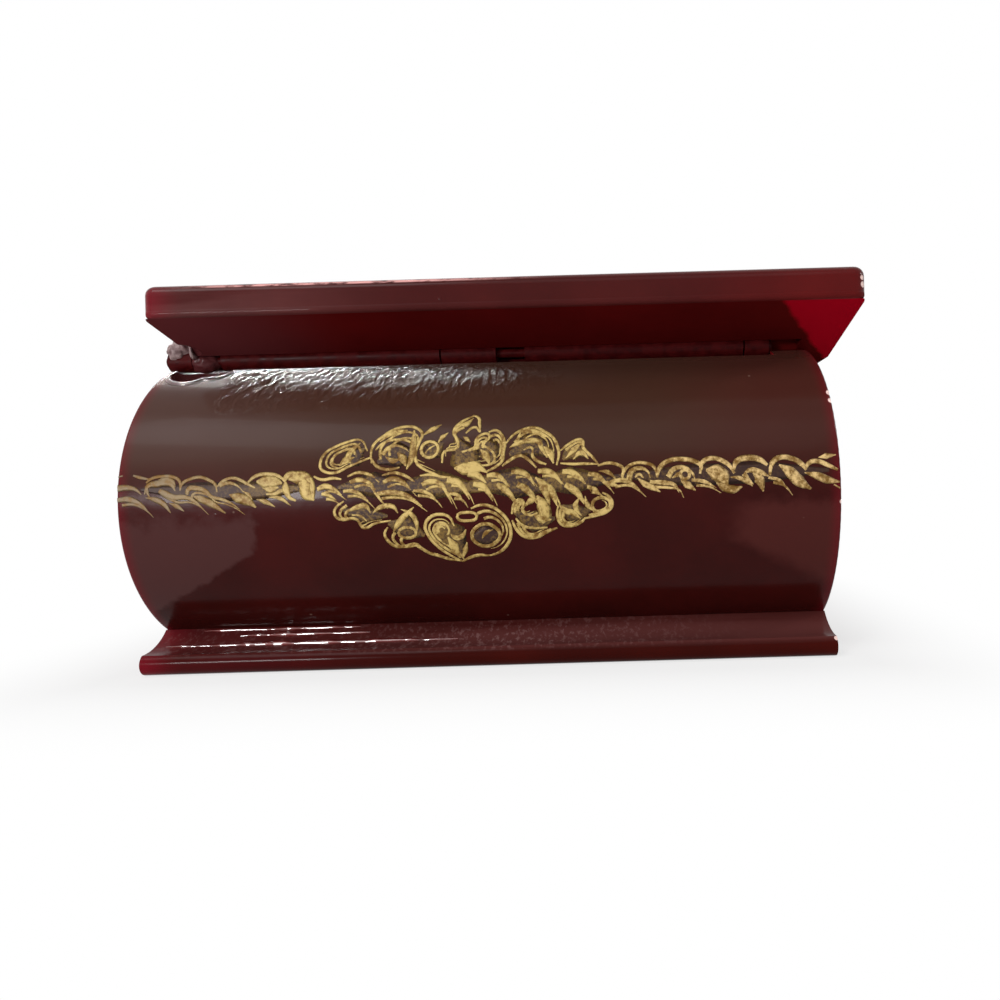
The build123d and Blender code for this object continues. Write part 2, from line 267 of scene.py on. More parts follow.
def shell_finish(name, smoothest, grit):
    """Nearly black brown lacquer with bloom and painted sheen on its upper half, and painted reflections low at both
    ends.
    """
    material, add, place = new_material(name)
    x, _, z = add("SeparateXYZ", [place]).node.outputs
    facing = add("TexCoord", output="Normal")
    colour = clouded(add, place, 22, (0.3, 0.75), linear("2b0907"), linear("370c0a"))
    # dust and bloom settle where the wall faces up, and the lighter colour there is also painted sheen of the light
    # from above
    up = add("SeparateXYZ", [facing], "Z")
    wiped = streaks(add, place, (0.15, 1, 1), 3, 3)
    wiped = add("Math", [wiped, 0.3, 0.75], operation="MULTIPLY_ADD")
    bloom_and_painted_sheen = tint(add, linear("3c261d"), linear("3f201a"), (x, 25 * MM, 50 * MM))
    bloom_and_painted_sheen = tint(add, bloom_and_painted_sheen, linear("442f29"), (x, -15 * MM, -50 * MM))
    colour = tint(add, colour, bloom_and_painted_sheen, (up, -0.08, 0.3), (z, 20 * MM, 40 * MM), wiped)
    # painted reflection: the lower ends are lighter, up to ragged lines that slant outwards below, standing in for
    # the lit room reflected at either side
    wander = add("TexNoise", {"Vector": place, "Scale": per_mm(4), "Detail": 3, "Roughness": 0.6})
    wander = add("Math", [wander, 6 * MM, -3 * MM], operation="MULTIPLY_ADD")
    ragged_x, ragged_z = (add("Math", [value, wander], operation="ADD") for value in (x, z))
    below = add("Math", [20.6 * MM, z], operation="SUBTRACT")
    below = add("Math", [below, 0.0], operation="MAXIMUM")
    left_reflection_edge, right_reflection_edge = (add("Math", [below, slant, ragged_x], operation="MULTIPLY_ADD") for slant in (2, -2))
    low = (ragged_z, 28 * MM, 25 * MM)
    colour = tint(add, colour, linear("402322"), (left_reflection_edge, -36.5 * MM, -38.5 * MM), low)
    colour = tint(add, colour, linear("421a17"), (right_reflection_edge, 39 * MM, 45 * MM), low)
    # thin lacquer on the sharp ends of the walls lets the red ground through
    from_middle = add("Math", [x], operation="ABSOLUTE")
    colour = tint(add, colour, linear("640a18"), (from_middle, 56.5 * MM, 59.5 * MM), 0.6)
    colour = lined(add, place, facing, colour)
    # a few specks of dust lie in the lacquer
    specks = add("TexVoronoi", {"Vector": place, "Scale": per_mm(8)})
    colour = tint(add, colour, linear("8a7064"), (specks, 0.04, 0.02), 0.4)
    # painted highlights: pale glint spots on the right edge
    colour = painted_glints(add, place, colour, WALL_GLINTS)
    rough = uneven_gloss(add, place, smoothest, 0.15)
    colour, rough = broken_open(add, place, colour, rough, (RIM_CHIP, SIDE_CHIP))
    finish_lacquer(add, place, colour, rough, 0.05, 0.03, grit)
    return material


shell_lacquer = shell_finish("dark_brown_lacquer", 0.15, 0.0)
blister_lacquer = shell_finish("blistered_brown_lacquer", 0.07, 0.015)
print("walls and ends:", shell_lacquer.name, "and where it lifted:", blister_lacquer.name)

# %% Lacquer of the lid and the base
# Painted highlights: glint spots on the lid's right corner and the base's right end, centre and radius in millimetres
BOARD_GLINTS = (((63.2, -45.9, 62.7), 0.35), ((63.3, -45.8, 61.6), 0.45), ((58.9, -41.2, 3.3), 0.4))
SHADE, LIGHT = (0.82, 0.82, 0.82, 1), (1.15, 1.15, 1.15, 1)


def board_finish(name, left_end, middle, left, right, specular):
    """Redder lacquer of a flat board: its colour in the middle, a lighter colour at its left end that is painted
    reflection, and its colour at the right.
    """
    material, add, place = new_material(name)
    x, _, z = add("SeparateXYZ", [place]).node.outputs
    facing = add("TexCoord", output="Normal")
    wisps = streaks(add, place, (0.1, 1, 1), 4, 3)
    # painted reflection: the left end takes the lighter left colour along wisps, standing in for light from the left
    # reflected in the lacquer
    colour = tint(add, linear(middle), linear(left), (x, -5 * MM, -50 * MM), (wisps, 0.25, 0.5))
    colour = tint(add, colour, linear(right), (x, 25 * MM, 60 * MM))
    shade = clouded(add, place, 22, (0.3, 0.75), SHADE, LIGHT)
    colour = add("Mix", {0: 1.0, 6: colour, 7: shade}, 2, blend_type="MULTIPLY", **COLOURS)
    # thin lacquer on the sharp left end lets the red ground through
    colour = tint(add, colour, linear("6e0c1c"), (x, (left_end + 8) * MM, left_end * MM), 0.7)
    # dust lies on ledges that face up, and the lighter colour there is also painted sheen of the light from above;
    # least where hands took the box at its left end
    up = add("SeparateXYZ", [facing], "Z")
    untouched = add("Math", [where(add, (x, -30 * MM, 5 * MM)), 0.6, 0.3], operation="MULTIPLY_ADD")
    dust_and_painted_sheen = where(add, (up, 0.4, 0.95), (wisps, 0.1, 0.5), untouched)
    colour = tint(add, colour, linear("5b312f"), dust_and_painted_sheen)
    # paler grains stuck in the base's cove, fewer towards the right
    grains = streaks(add, place, (1, 0.5, 1), 0.8, 3, 0.7)
    in_cove = (z, 14 * MM, 10 * MM)
    colour = tint(add, colour, linear("846260"), (grains, 0.5, 0.66), dust_and_painted_sheen, (x, 52 * MM, 0.0), in_cove, 0.6)
    colour = lined(add, place, facing, colour)
    # hands have dulled the lid's lower edge; the pinkish line, broken in dashes, along its upper edge is a painted
    # highlight
    dull = where(add, (z, 58 * MM, 59 * MM), (z, 60.7 * MM, 60.2 * MM), 0.75)
    rough = add("Math", [uneven_gloss(add, place, 0.12, 0.12), dull], operation="MAXIMUM")
    highlight_breaks = streaks(add, place, (0.25, 1, 1), 0.7, 4, 0.7)
    painted_highlight_edge = where(add, (z, 63.95 * MM, 64.2 * MM), (z, 64.65 * MM, 64.5 * MM))
    colour = tint(add, colour, linear("d89c98"), painted_highlight_edge, (x, -52 * MM, -36 * MM), (x, 14 * MM, -12 * MM),
                  (highlight_breaks, 0.36, 0.54))
    # painted highlights: pale glint spots on the right corners
    colour = painted_glints(add, place, colour, BOARD_GLINTS)
    finish_lacquer(add, place, colour, rough, specular, 0.03)
    return material


lid_lacquer = board_finish("rubbed_red_lacquer", -54.7, "3e0f0e", "4c2625", "500b0b", 0.08)
base_lacquer = board_finish("dark_red_lacquer", -59.7, "340703", "3e0a0c", "380703", 0.03)
print("lid board and base:", lid_lacquer.name, base_lacquer.name)


# %% Lacquer under the lid's overhang
def underside_finish():
    """Dull dark red lacquer in the lee of the lid, with painted light: bright crimson under its right end."""
    material, add, place = new_material("wiped_red_lacquer")
    x, y, _ = add("SeparateXYZ", [place]).node.outputs
    colour = clouded(add, place, 22, (0.3, 0.75), linear("430909"), linear("4d0b0b"))
    colour = tint(add, colour, linear("542426"), (x, -20 * MM, -50 * MM))
    # painted light: bright crimson under the right end, up to a slanting line, stands in for light that reaches the
    # underside past the end of the body
    slant = add("Math", [y, 0.572], operation="MULTIPLY")
    line = add("Math", [x, slant], operation="SUBTRACT")
    wander = add("TexNoise", {"Vector": place, "Scale": per_mm(3)})
    line = add("Math", [wander, 2 * MM, line], operation="MULTIPLY_ADD")
    colour = tint(add, colour, linear("920518"), (line, 76.8 * MM, 78.2 * MM), (y, 0.0, -5 * MM))
    rough = uneven_gloss(add, place, 0.3, 0.15)
    colour, rough = broken_open(add, place, colour, rough, (LID_CHIP,))
    finish_lacquer(add, place, colour, rough, 0.0, 0.0)
    return material


underside_lacquer = underside_finish()
print("lid rails:", underside_lacquer.name)


# %% Lining and thick drips
def plain_finish(name, size_mm, limits, thick, thin, gloss):
    """Lacquer that nothing has worn: its clouds and two colours, then its roughness, specular level and coat."""
    material, add, place = new_material(name)
    colour = clouded(add, place, size_mm, limits, linear(thick), linear(thin))
    finish_lacquer(add, place, colour, *gloss)
    return material


# The inside is a satin red. Drips are thick and dried glassier than the rest, because no hand or rag reaches them
lining_lacquer = plain_finish("red_lining_lacquer", 22, (0.35, 0.7), "5e0c12", "7a1219", (0.35, 0.2, 0.0))
drip_lacquer = plain_finish("thick_dripped_lacquer", 3, (0.3, 0.75), "360a07", "480f0c", (0.1, 0.9, 0.6))
print("inside and drips:", lining_lacquer.name, drip_lacquer.name)

# %% [markdown]
# ## The hinge's metal
# The hinge is plain sheet brass, but the lacquer was brushed straight over its barrels, so little metal shows.
# Bare brass is left on the leaves and nails inside. One material covers both: it measures the distance from the
# hinge's axis, and close to it the brass gives way to lacquer.
# A metal takes its colour from its reflections, so the base colour is the metal's own and metallic is 1.
# Noise moves the roughness and the colour together, because tarnish is both darker and duller.

# %% Brass under lacquer
HINGE_AXIS, LACQUER_REACH = (0, -29.6, 55.225), 2.4


def lacquered_brass():
    """Tarnished brass that lies bare away from the hinge's axis, and under lacquer close to it."""
    material, add, place = new_material("lacquered_brass")
    stain = add("TexNoise", {"Vector": place, "Scale": per_mm(1.8), "Detail": 4, "Roughness": 0.65})
    stain = where(add, (stain, 0.35, 0.65))
    across = add("VectorMath", [place, (0, 1, 1)], operation="MULTIPLY")
    covered = near(add, across, HINGE_AXIS, LACQUER_REACH)
    metal = tint(add, linear("a08a72"), linear("5a4038"), stain)
    coat = tint(add, linear("2c0506"), linear("3c090a"), stain)
    colour = tint(add, metal, coat, covered)
    rough = add("Math", [stain, 0.25, 0.28], operation="MULTIPLY_ADD")
    bare = add("Math", [1.0, covered], operation="SUBTRACT")
    scratches = streaks(add, place, (0.1, 1, 1), 0.25, 2)
    bump = add("Bump", {"Height": scratches, "Distance": 0.02 * MM, "Strength": 0.6})
    shader = add("BsdfPrincipled", {
        "Base Color": colour, "Metallic": bare, "Roughness": rough, "Specular IOR Level": 0.04, "Normal": bump,
    })
    add("OutputMaterial", {"Surface": shader})
    return material


brass = lacquered_brass()
print("metal:", brass.name)

# %% [markdown]
# ## Gold paint
# The scrolls are painted with bronze powder in a clear binder, which dries pale yellow and only half metallic.
# The brush leaves fine lines along each stroke, and thin places let the brown show, so two golds are mixed by noise.

# %% Gold
def gold_paint(name, full, bright, faded, thinned, wear_mm, threshold):
    """Bronze powder paint, thin in patches of this size: bright at the right end of the box and faded at the left."""
    material, add, place = new_material(name)
    wear = add("TexNoise", {"Vector": place, "Scale": per_mm(wear_mm), "Detail": 5, "Roughness": 0.7})
    patches = add("TexNoise", {"Vector": place, "Scale": per_mm(7)})
    patches = add("Math", [patches, 0.5, -0.25], operation="MULTIPLY_ADD")
    wear = add("Math", [wear, patches], operation="ADD")
    x = add("SeparateXYZ", [place], "X")
    laid = tint(add, linear(full), linear(bright), (x, 10 * MM, 45 * MM))
    laid = tint(add, laid, linear(faded), (x, -20 * MM, -56 * MM))
    colour = tint(add, linear(thinned), laid, (wear, threshold - 0.14, threshold + 0.14))
    # real powder is about ten times finer than this grain, too fine to show
    powder = add("TexNoise", {"Vector": place, "Scale": per_mm(0.2)})
    bump = add("Bump", {"Height": powder, "Distance": 0.03 * MM, "Strength": 0.5})
    shader = add("BsdfPrincipled", {
        "Base Color": colour, "Metallic": 0.15, "Roughness": 0.5, "Specular IOR Level": 0.3, "Normal": bump,
    })
    add("OutputMaterial", {"Surface": shader})
    return material


gold = gold_paint("bronze_powder_paint", "b69c5c", "d2b278", "6e5c44", "6a4a12", 1.0, 0.5)
wash = gold_paint("thinned_bronze_wash", "6a5020", "3c2412", "301c14", "28100a", 0.5, 0.55)
print("paint:", gold.name, wash.name)

# %% [markdown]
# ## Dress the CAD parts
# A CAD part keeps its mesh, and only what fills its material slot changes.
# The walls and ends take the dark shell lacquer, the lid and base the redder one, and the inside the lining.

# %% Materials on the CAD parts
FINISHES = {
    shell_lacquer: ["back_wall", "front_wall", "end_panel_left", "end_panel_right"],
    lid_lacquer: ["lid_board"],
    base_lacquer: ["base_board"],
    underside_lacquer: ["lid_rail_back", "lid_rail_front", "lid_end_left", "lid_end_right"],
    lining_lacquer: ["floor_panel", "lid_lining"],
    brass: ["body_hinge_leaf", "lid_hinge_leaf", "body_leaf_nails", "lid_leaf_nails", "hinge_pin"],
}
for finish, names in FINISHES.items():
    for name in names:
        for material_slot in nodes[name].material_slots:
            material_slot.material = finish
    print(finish.name, "on", len(names), "parts")

# %% [markdown]
# ## Laying a drawing on the bulge
# A painter works on the curved side as if it were flat paper: along the box, and up or down from the belly line.
# So each stroke is drawn flat, in millimetres along and above the belly, and a stroke's round section is pressed low.
# One function then rolls the flat drawing onto the arc of the wall, which keeps every length true.
# Text tools or an image would be quicker, but only real strokes of paint catch the light and keep their edges.

# %% Rolling a flat drawing onto the wall
BULGE_Y, BULGE_Z, BULGE_RADIUS = 19.012, 29.046, 26.990
BELLY_RISE = 0.35
PAINT_RELIEF = 0.12


def roll_onto_wall(mesh, side, relief):
    """Move flat points (along, above the belly, off the wall) onto the bulging wall; side -1 is the hinge side."""
    for vertex in mesh.vertices:
        along, above, off = vertex.co
        angle = (above + BELLY_RISE) / BULGE_RADIUS
        reach = BULGE_RADIUS + off * relief
        vertex.co = Vector((
            -side * along,
            side * (BULGE_Y + reach * math.cos(angle)),
            BULGE_Z + reach * math.sin(angle),
        )) * MM


print("the belly stands", round(BULGE_Y + BULGE_RADIUS, 1), "mm out at a height of", round(BULGE_Z, 1), "mm")


# %% Making a piece
def finish_piece(name, mesh, material, body="box"):
    """Make an object of a finished mesh, smooth it, and let it ride on a body."""
    for polygon in mesh.polygons:
        polygon.use_smooth = True
    mesh.materials.clear()
    mesh.materials.append(material)
    piece = bpy.data.objects.new(name, mesh)
    bpy.context.scene.collection.objects.link(piece)
    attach(piece, body)
    print(name, "has", len(mesh.polygons), "faces")
    return piece


def mesh_of(curve):
    """Turn a bevelled curve into a mesh."""
    drawn = bpy.data.objects.new(curve.name + "_drawn", curve)
    bpy.context.scene.collection.objects.link(drawn)
    bpy.context.view_layer.update()
    mesh = bpy.data.meshes.new_from_object(drawn.evaluated_get(bpy.context.evaluated_depsgraph_get()))
    bpy.data.objects.remove(drawn)
    return mesh


# %% Laying strokes
# How wide a stroke of each kind is on its way from start to end, as a share of its widest
PRESSURE = {
    "line": lambda t: 0.55 + 0.45 * min(1.0, 6 * t, 5 * (1 - t)),
    "comma": lambda t: min(1.0, 0.55 + 2.5 * t) * (1 - t) ** 0.55 + 0.08,
    "leaf": lambda t: 0.15 + 0.85 * math.sin(math.pi * t) ** 0.8,
    "tail": lambda t: 1.0 - 0.82 * t ** 1.4,
    "ring": lambda t: 1.0,
}
# How much a loaded brush spreads each kind of stroke beyond the width it was drawn with
SPREAD = {"line": 1.15, "comma": 1.3, "leaf": 1.15, "tail": 1.3, "ring": 1.3}


def lay_strokes(name, strokes, side, material, relief):
    """Make strokes from (pressure, widest width in mm, points) and lay them on one wall."""
    drawing = bpy.data.curves.new(name, "CURVE")
    drawing.dimensions = "3D"
    drawing.bevel_depth = 1.0
    drawing.bevel_resolution = 1
    drawing.resolution_u = 4
    drawing.use_fill_caps = True
    for pressure, width, points in strokes:
        spline = drawing.splines.new("BEZIER")
        spline.bezier_points.add(len(points) - 1)
        spline.use_cyclic_u = pressure == "ring"
        for i, (point, (along, above)) in enumerate(zip(spline.bezier_points, points)):
            point.radius = width / 2 * SPREAD[pressure] * PRESSURE[pressure](i / (len(points) - 1))
            point.handle_left_type = point.handle_right_type = "AUTO"
            point.co = (along, above, 0)
    mesh = mesh_of(drawing)
    roll_onto_wall(mesh, side, relief)
    return finish_piece(name, mesh, material)


print("kinds of stroke:", *PRESSURE)

# %% [markdown]
# ## The band of arches and commas
# A chain of small arches runs the whole length of the box, with fat comma strokes falling out of each arch.
# Every arch was one turn of the brush, so no two are alike, and each is listed here one by one rather than repeated.

# %% Strokes of the chain, left of the middle
LEFT_CHAIN = [
    ("line", 0.5, [(-56.4, 4.6), (-55.2, 4.2), (-53.8, 3.9)]),
    ("line", 0.5, [(-54.2, 3.3), (-53.3, 4.0), (-51.7, 4.3), (-50.0, 4.2), (-48.8, 3.5), (-48.6, 1.9)]),
    ("leaf", 1.1, [(-54.4, 1.4), (-53.8, 2.8), (-52.4, 3.1), (-51.0, 3.3), (-50.0, 2.9), (-49.4, 1.8)]),
    ("leaf", 0.8, [(-52.6, 3.5), (-51.2, 3.8), (-49.9, 3.4), (-49.4, 2.4)]),
    ("tail", 0.6, [(-54.1, 2.4), (-53.9, 1.6), (-53.5, 0.8)]),
    ("tail", 0.9, [(-58.8, 2.5), (-57.4, 2.6), (-55.9, 2.3), (-54.9, 1.4)]),
    ("comma", 0.9, [(-58.8, 0.6), (-57.1, 0.7), (-55.7, 0.2), (-54.6, -0.6), (-53.8, -1.5)]),
    ("line", 0.4, [(-58.8, 4.4), (-58.1, 4.6)]),
    ("comma", 1.0, [(-52.0, 2.0), (-51.0, 1.4), (-49.5, 0.8), (-47.9, 0.8), (-46.4, 0.2), (-44.8, -1.3)]),
    ("leaf", 0.9, [(-54.2, 0.9), (-52.6, 0.5), (-51.2, -0.3), (-50.2, -1.7)]),
    ("leaf", 0.8, [(-50.4, -0.1), (-49.2, -0.6), (-48.0, -1.5)]),
    ("line", 0.5, [(-48.6, 2.0), (-48.3, 3.0), (-47.1, 3.7), (-45.5, 4.0), (-44.0, 3.5), (-42.9, 2.7), (-42.6, 1.5)]),
    ("comma", 0.8, [(-47.5, 1.2), (-47.2, 2.1), (-46.0, 2.2), (-44.5, 1.7), (-43.6, 0.8), (-41.9, 0.3), (-40.2, -0.5),
                    (-38.9, -1.5)]),
    ("leaf", 1.2, [(-46.6, 1.0), (-45.4, 0.5), (-43.5, -0.4), (-41.3, -2.0)]),
    ("line", 0.5, [(-42.7, 2.2), (-41.7, 3.2), (-40.2, 3.7), (-38.8, 3.3), (-37.6, 2.6), (-36.4, 2.0)]),
    ("tail", 0.6, [(-42.2, 2.5), (-40.8, 2.9), (-39.3, 2.4), (-38.2, 1.3)]),
    ("leaf", 1.7, [(-40.6, 1.0), (-39.3, 0.5), (-37.8, 0.0), (-36.3, -1.2)]),
    ("leaf", 0.7, [(-38.6, 1.6), (-37.4, 0.8), (-36.8, -0.4)]),
    ("leaf", 0.8, [(-36.2, 0.1), (-34.8, -0.3), (-33.2, -1.2)]),
    ("line", 0.6, [(-37.6, 2.9), (-36.4, 3.9), (-34.8, 4.2), (-32.9, 3.9), (-31.6, 3.1)]),
    ("leaf", 2.2, [(-36.2, 3.0), (-34.9, 2.9), (-33.3, 2.9), (-32.0, 2.6)]),
    ("leaf", 1.4, [(-35.2, 2.0), (-33.9, 1.7), (-32.6, 2.0)]),
    ("line", 0.6, [(-34.6, 0.9), (-33.2, 0.9), (-31.8, 1.4), (-30.9, 0.3), (-29.8, -0.3)]),
    ("leaf", 0.7, [(-34.2, 0.4), (-32.4, 0.2), (-30.6, -1.1)]),
    ("line", 1.0, [(-31.8, 2.9), (-31.0, 3.9), (-29.8, 4.0), (-28.3, 3.8), (-27.5, 2.9), (-27.1, 1.5),
                   (-27.1, -0.2)]),
    ("leaf", 1.4, [(-31.5, 3.0), (-31.4, 1.6), (-30.7, 0.3)]),
    ("leaf", 1.9, [(-29.4, 2.9), (-28.4, 1.8), (-27.9, 0.6), (-26.8, -0.3)]),
    ("line", 0.5, [(-26.9, 3.6), (-25.6, 3.0), (-23.8, 3.2), (-22.4, 3.0)]),
    ("comma", 0.9, [(-26.3, 1.4), (-25.0, 1.9), (-23.6, 1.4), (-22.3, 0.4)]),
    ("comma", 0.7, [(-25.6, 0.7), (-24.4, 0.4), (-23.2, -0.4)]),
]
print("left chain:", len(LEFT_CHAIN), "strokes")

# %% Strokes of the chain, right of the middle
RIGHT_CHAIN = [
    ("line", 0.5, [(19.4, 4.0), (21.0, 4.4), (22.6, 4.1), (23.5, 3.4), (23.2, 2.0)]),
    ("leaf", 0.7, [(19.5, 3.1), (21.0, 2.9), (22.4, 1.6)]),
    ("line", 0.5, [(23.3, 1.7), (23.9, 3.3), (25.4, 4.2), (27.2, 4.2), (28.6, 3.5), (29.0, 1.8)]),
    ("tail", 0.8, [(24.4, 1.5), (24.9, 2.9), (26.2, 3.4), (27.5, 2.8), (27.9, 1.7)]),
    ("line", 0.5, [(25.4, 1.9), (26.1, 2.4), (26.8, 1.8)]),
    ("leaf", 0.9, [(20.0, 1.3), (21.4, 1.0), (23.0, 0.4)]),
    ("comma", 0.8, [(21.4, 1.3), (23.5, 1.5), (25.1, 0.7), (26.4, -0.5)]),
    ("leaf", 1.0, [(25.8, 1.8), (27.0, 0.8), (28.2, 0.2), (29.5, -0.6)]),
    ("comma", 0.8, [(27.8, 1.1), (30.2, 0.9), (31.8, 0.5), (32.5, -0.8)]),
    ("line", 0.7, [(29.0, 1.8), (29.6, 3.5), (31.0, 4.5), (33.2, 4.7), (35.1, 4.3), (36.2, 3.5), (36.0, 2.2)]),
    ("tail", 0.8, [(30.8, 1.8), (31.7, 3.0), (33.4, 3.3), (34.8, 2.3), (35.2, 0.9)]),
    ("ring", 0.5, [(32.8, 2.2), (33.6, 2.9), (34.3, 2.2), (33.6, 1.4)]),
    ("leaf", 0.7, [(31.2, 1.5), (32.4, 2.2), (33.1, 2.8)]),
    ("leaf", 1.2, [(32.7, 1.4), (33.9, 0.5), (35.2, -0.5)]),
    ("comma", 0.8, [(34.6, 1.2), (36.7, 0.9), (38.6, -0.2)]),
    ("line", 0.7, [(36.0, 2.5), (36.5, 4.1), (37.8, 4.7), (39.4, 4.4), (40.8, 3.4), (41.6, 2.1)]),
    ("leaf", 2.7, [(37.0, 2.8), (38.4, 2.4), (39.6, 1.6), (40.4, 0.2)]),
    ("leaf", 1.3, [(38.6, 0.7), (39.8, -0.1), (41.4, -0.5), (42.8, -0.1)]),
    ("leaf", 0.8, [(40.5, 1.5), (42.4, 1.3), (43.6, 0.7), (44.5, -0.1)]),
    ("line", 0.9, [(41.5, 2.7), (42.1, 4.1), (43.8, 4.6), (45.7, 4.3), (47.0, 3.3)]),
    ("leaf", 1.0, [(43.0, 1.9), (44.3, 2.6), (45.9, 2.1), (47.4, 1.3)]),
    ("leaf", 1.6, [(44.6, 2.1), (45.6, 1.0), (46.2, -1.0)]),
    ("tail", 0.8, [(43.1, 2.0), (43.8, 1.1), (44.6, 0.2)]),
    ("comma", 0.7, [(47.1, 1.3), (48.9, 0.7), (50.2, -0.9)]),
    ("line", 0.8, [(47.3, 1.6), (47.9, 3.7), (49.1, 4.5), (51.0, 4.3), (52.5, 3.4), (53.3, 2.3)]),
    ("leaf", 1.9, [(48.9, 3.3), (50.6, 2.1), (52.1, 0.5), (54.0, -0.8)]),
    ("line", 0.7, [(53.1, 2.4), (53.9, 3.5), (55.2, 3.7), (56.7, 3.1), (58.4, 2.2)]),
    ("leaf", 1.3, [(53.0, 1.9), (55.1, 1.3), (56.7, 0.6), (58.7, 0.2)]),
    ("leaf", 0.9, [(55.4, 4.3), (56.7, 4.5), (58.3, 4.7)]),
    ("line", 0.4, [(57.7, -0.2), (58.7, -0.8)]),
]
print("right chain:", len(RIGHT_CHAIN), "strokes")

# %% [markdown]
# ## The scroll cluster
# In the middle the band swells into a lozenge of scrolls: leaves at the ends, round scrolls and a flame above,
# and a heart with two lobes below. Two staggered rows of commas carry the chain through it.
# Fine outlines were drawn first and fat strokes filled them, so the lists go in that order.

# %% Upper scrolls
UPPER_SCROLLS = [
    ("line", 0.45, [(-18.3, 7.6), (-19.6, 9.6), (-21.8, 9.3), (-23.5, 8.6), (-25.1, 7.6), (-25.9, 6.0), (-25.8, 4.9),
                    (-25.1, 4.3), (-23.4, 4.1), (-21.2, 5.1), (-18.2, 6.3), (-17.6, 6.5)]),
    ("line", 0.4, [(-21.6, 8.3), (-24.0, 6.4), (-24.1, 5.5), (-22.9, 4.8)]),
    ("leaf", 1.0, [(-19.6, 9.1), (-20.8, 7.9), (-21.4, 6.6), (-20.9, 5.4)]),
    ("line", 0.5, [(-17.5, 5.5), (-17.7, 7.3), (-17.3, 8.8), (-15.9, 10.2), (-14.2, 11.4), (-12.3, 11.9),
                   (-10.6, 11.6), (-9.5, 10.5), (-9.9, 8.9), (-10.4, 7.1), (-10.1, 5.3), (-9.1, 4.4),
                   (-7.1, 3.4), (-5.5, 2.6)]),
    ("line", 0.5, [(-17.5, 6.2), (-16.8, 5.1), (-15.6, 4.5), (-14.2, 4.4), (-12.9, 4.7)]),
    ("line", 0.45, [(-17.0, 7.7), (-15.9, 8.9), (-13.8, 9.5), (-11.7, 9.2), (-10.8, 8.4)]),
    ("tail", 0.7, [(-15.8, 6.9), (-14.5, 8.3), (-12.4, 8.0), (-11.5, 7.3)]),
    ("leaf", 1.2, [(-10.9, 11.2), (-10.8, 8.9), (-11.0, 6.2), (-11.8, 4.3)]),
    ("leaf", 1.0, [(-15.4, 6.6), (-14.0, 5.8), (-12.6, 6.2)]),
    ("leaf", 0.9, [(-9.5, 10.1), (-7.9, 11.2), (-6.4, 12.1)]),
    ("ring", 0.45, [(-9.5, 7.6), (-8.1, 9.0), (-6.7, 7.6), (-8.1, 6.2)]),
    ("line", 0.4, [(-8.8, 7.0), (-8.0, 7.9), (-7.2, 8.3)]),
    ("leaf", 0.8, [(-6.8, 8.7), (-6.1, 9.7), (-5.2, 10.5)]),
    ("line", 0.5, [(-1.2, 13.6), (-3.1, 12.5), (-4.3, 10.7), (-3.7, 9.2), (-3.5, 7.8), (-5.7, 7.1), (-6.0, 5.2)]),
    ("line", 0.5, [(-1.3, 13.8), (-0.3, 13.2), (-0.1, 12.0), (0.1, 10.4)]),
    ("line", 0.45, [(-2.3, 10.3), (-1.4, 11.2), (-0.7, 11.4), (0.0, 10.4)]),
    ("leaf", 0.7, [(-2.7, 9.7), (-2.1, 9.3), (-1.5, 8.7)]),
    ("leaf", 1.0, [(-3.4, 12.0), (-2.4, 12.0), (-1.2, 13.2)]),
    ("line", 0.45, [(-3.9, 6.8), (-2.3, 7.3), (-0.7, 7.8), (-0.5, 9.1), (0.4, 10.0), (1.5, 10.0), (1.6, 9.3),
                    (0.6, 8.4), (1.6, 7.4), (2.5, 6.4), (2.4, 5.1), (0.8, 4.6), (-0.7, 4.7)]),
    ("leaf", 2.1, [(-4.0, 4.3), (-2.6, 4.2), (-0.9, 4.1), (0.9, 4.0)]),
    ("tail", 1.3, [(-1.6, 3.6), (-0.2, 3.0), (1.2, 1.7)]),
    ("line", 0.5, [(1.5, 10.4), (2.7, 10.7), (3.8, 9.6), (4.2, 8.3), (4.0, 6.8), (3.8, 5.3), (2.9, 4.4), (1.1, 3.5)]),
    ("line", 0.5, [(4.4, 8.3), (5.8, 9.9), (7.5, 10.8), (9.2, 11.0), (10.9, 10.1), (12.2, 9.0), (12.9, 7.4),
                   (13.1, 6.1), (12.7, 4.3)]),
    ("line", 0.45, [(6.8, 10.2), (6.5, 9.4), (6.4, 8.4)]),
    ("leaf", 1.0, [(5.0, 7.5), (6.1, 8.1), (8.6, 8.7), (9.8, 8.4), (10.3, 7.1), (11.2, 5.6)]),
    ("line", 0.5, [(7.3, 7.0), (8.6, 7.4), (8.8, 5.9), (9.9, 4.9), (11.0, 4.5)]),
    ("line", 0.5, [(3.8, 4.4), (5.0, 5.3), (6.8, 6.1), (7.9, 5.5), (9.4, 4.0)]),
    ("leaf", 1.3, [(10.5, 7.6), (11.6, 6.4), (12.2, 4.6)]),
    ("line", 0.45, [(13.3, 6.7), (14.7, 7.8), (16.3, 8.6), (17.0, 8.4), (17.1, 7.3), (17.6, 6.5), (18.6, 5.5),
                    (19.5, 4.2)]),
    ("line", 0.45, [(13.3, 4.6), (15.3, 4.4), (17.4, 4.4), (19.4, 4.3)]),
    ("leaf", 0.9, [(14.2, 5.4), (15.6, 6.8), (16.8, 7.9)]),
    ("leaf", 1.0, [(15.4, 5.2), (16.8, 6.3), (17.9, 5.2)]),
]
print("upper scrolls:", len(UPPER_SCROLLS), "strokes")

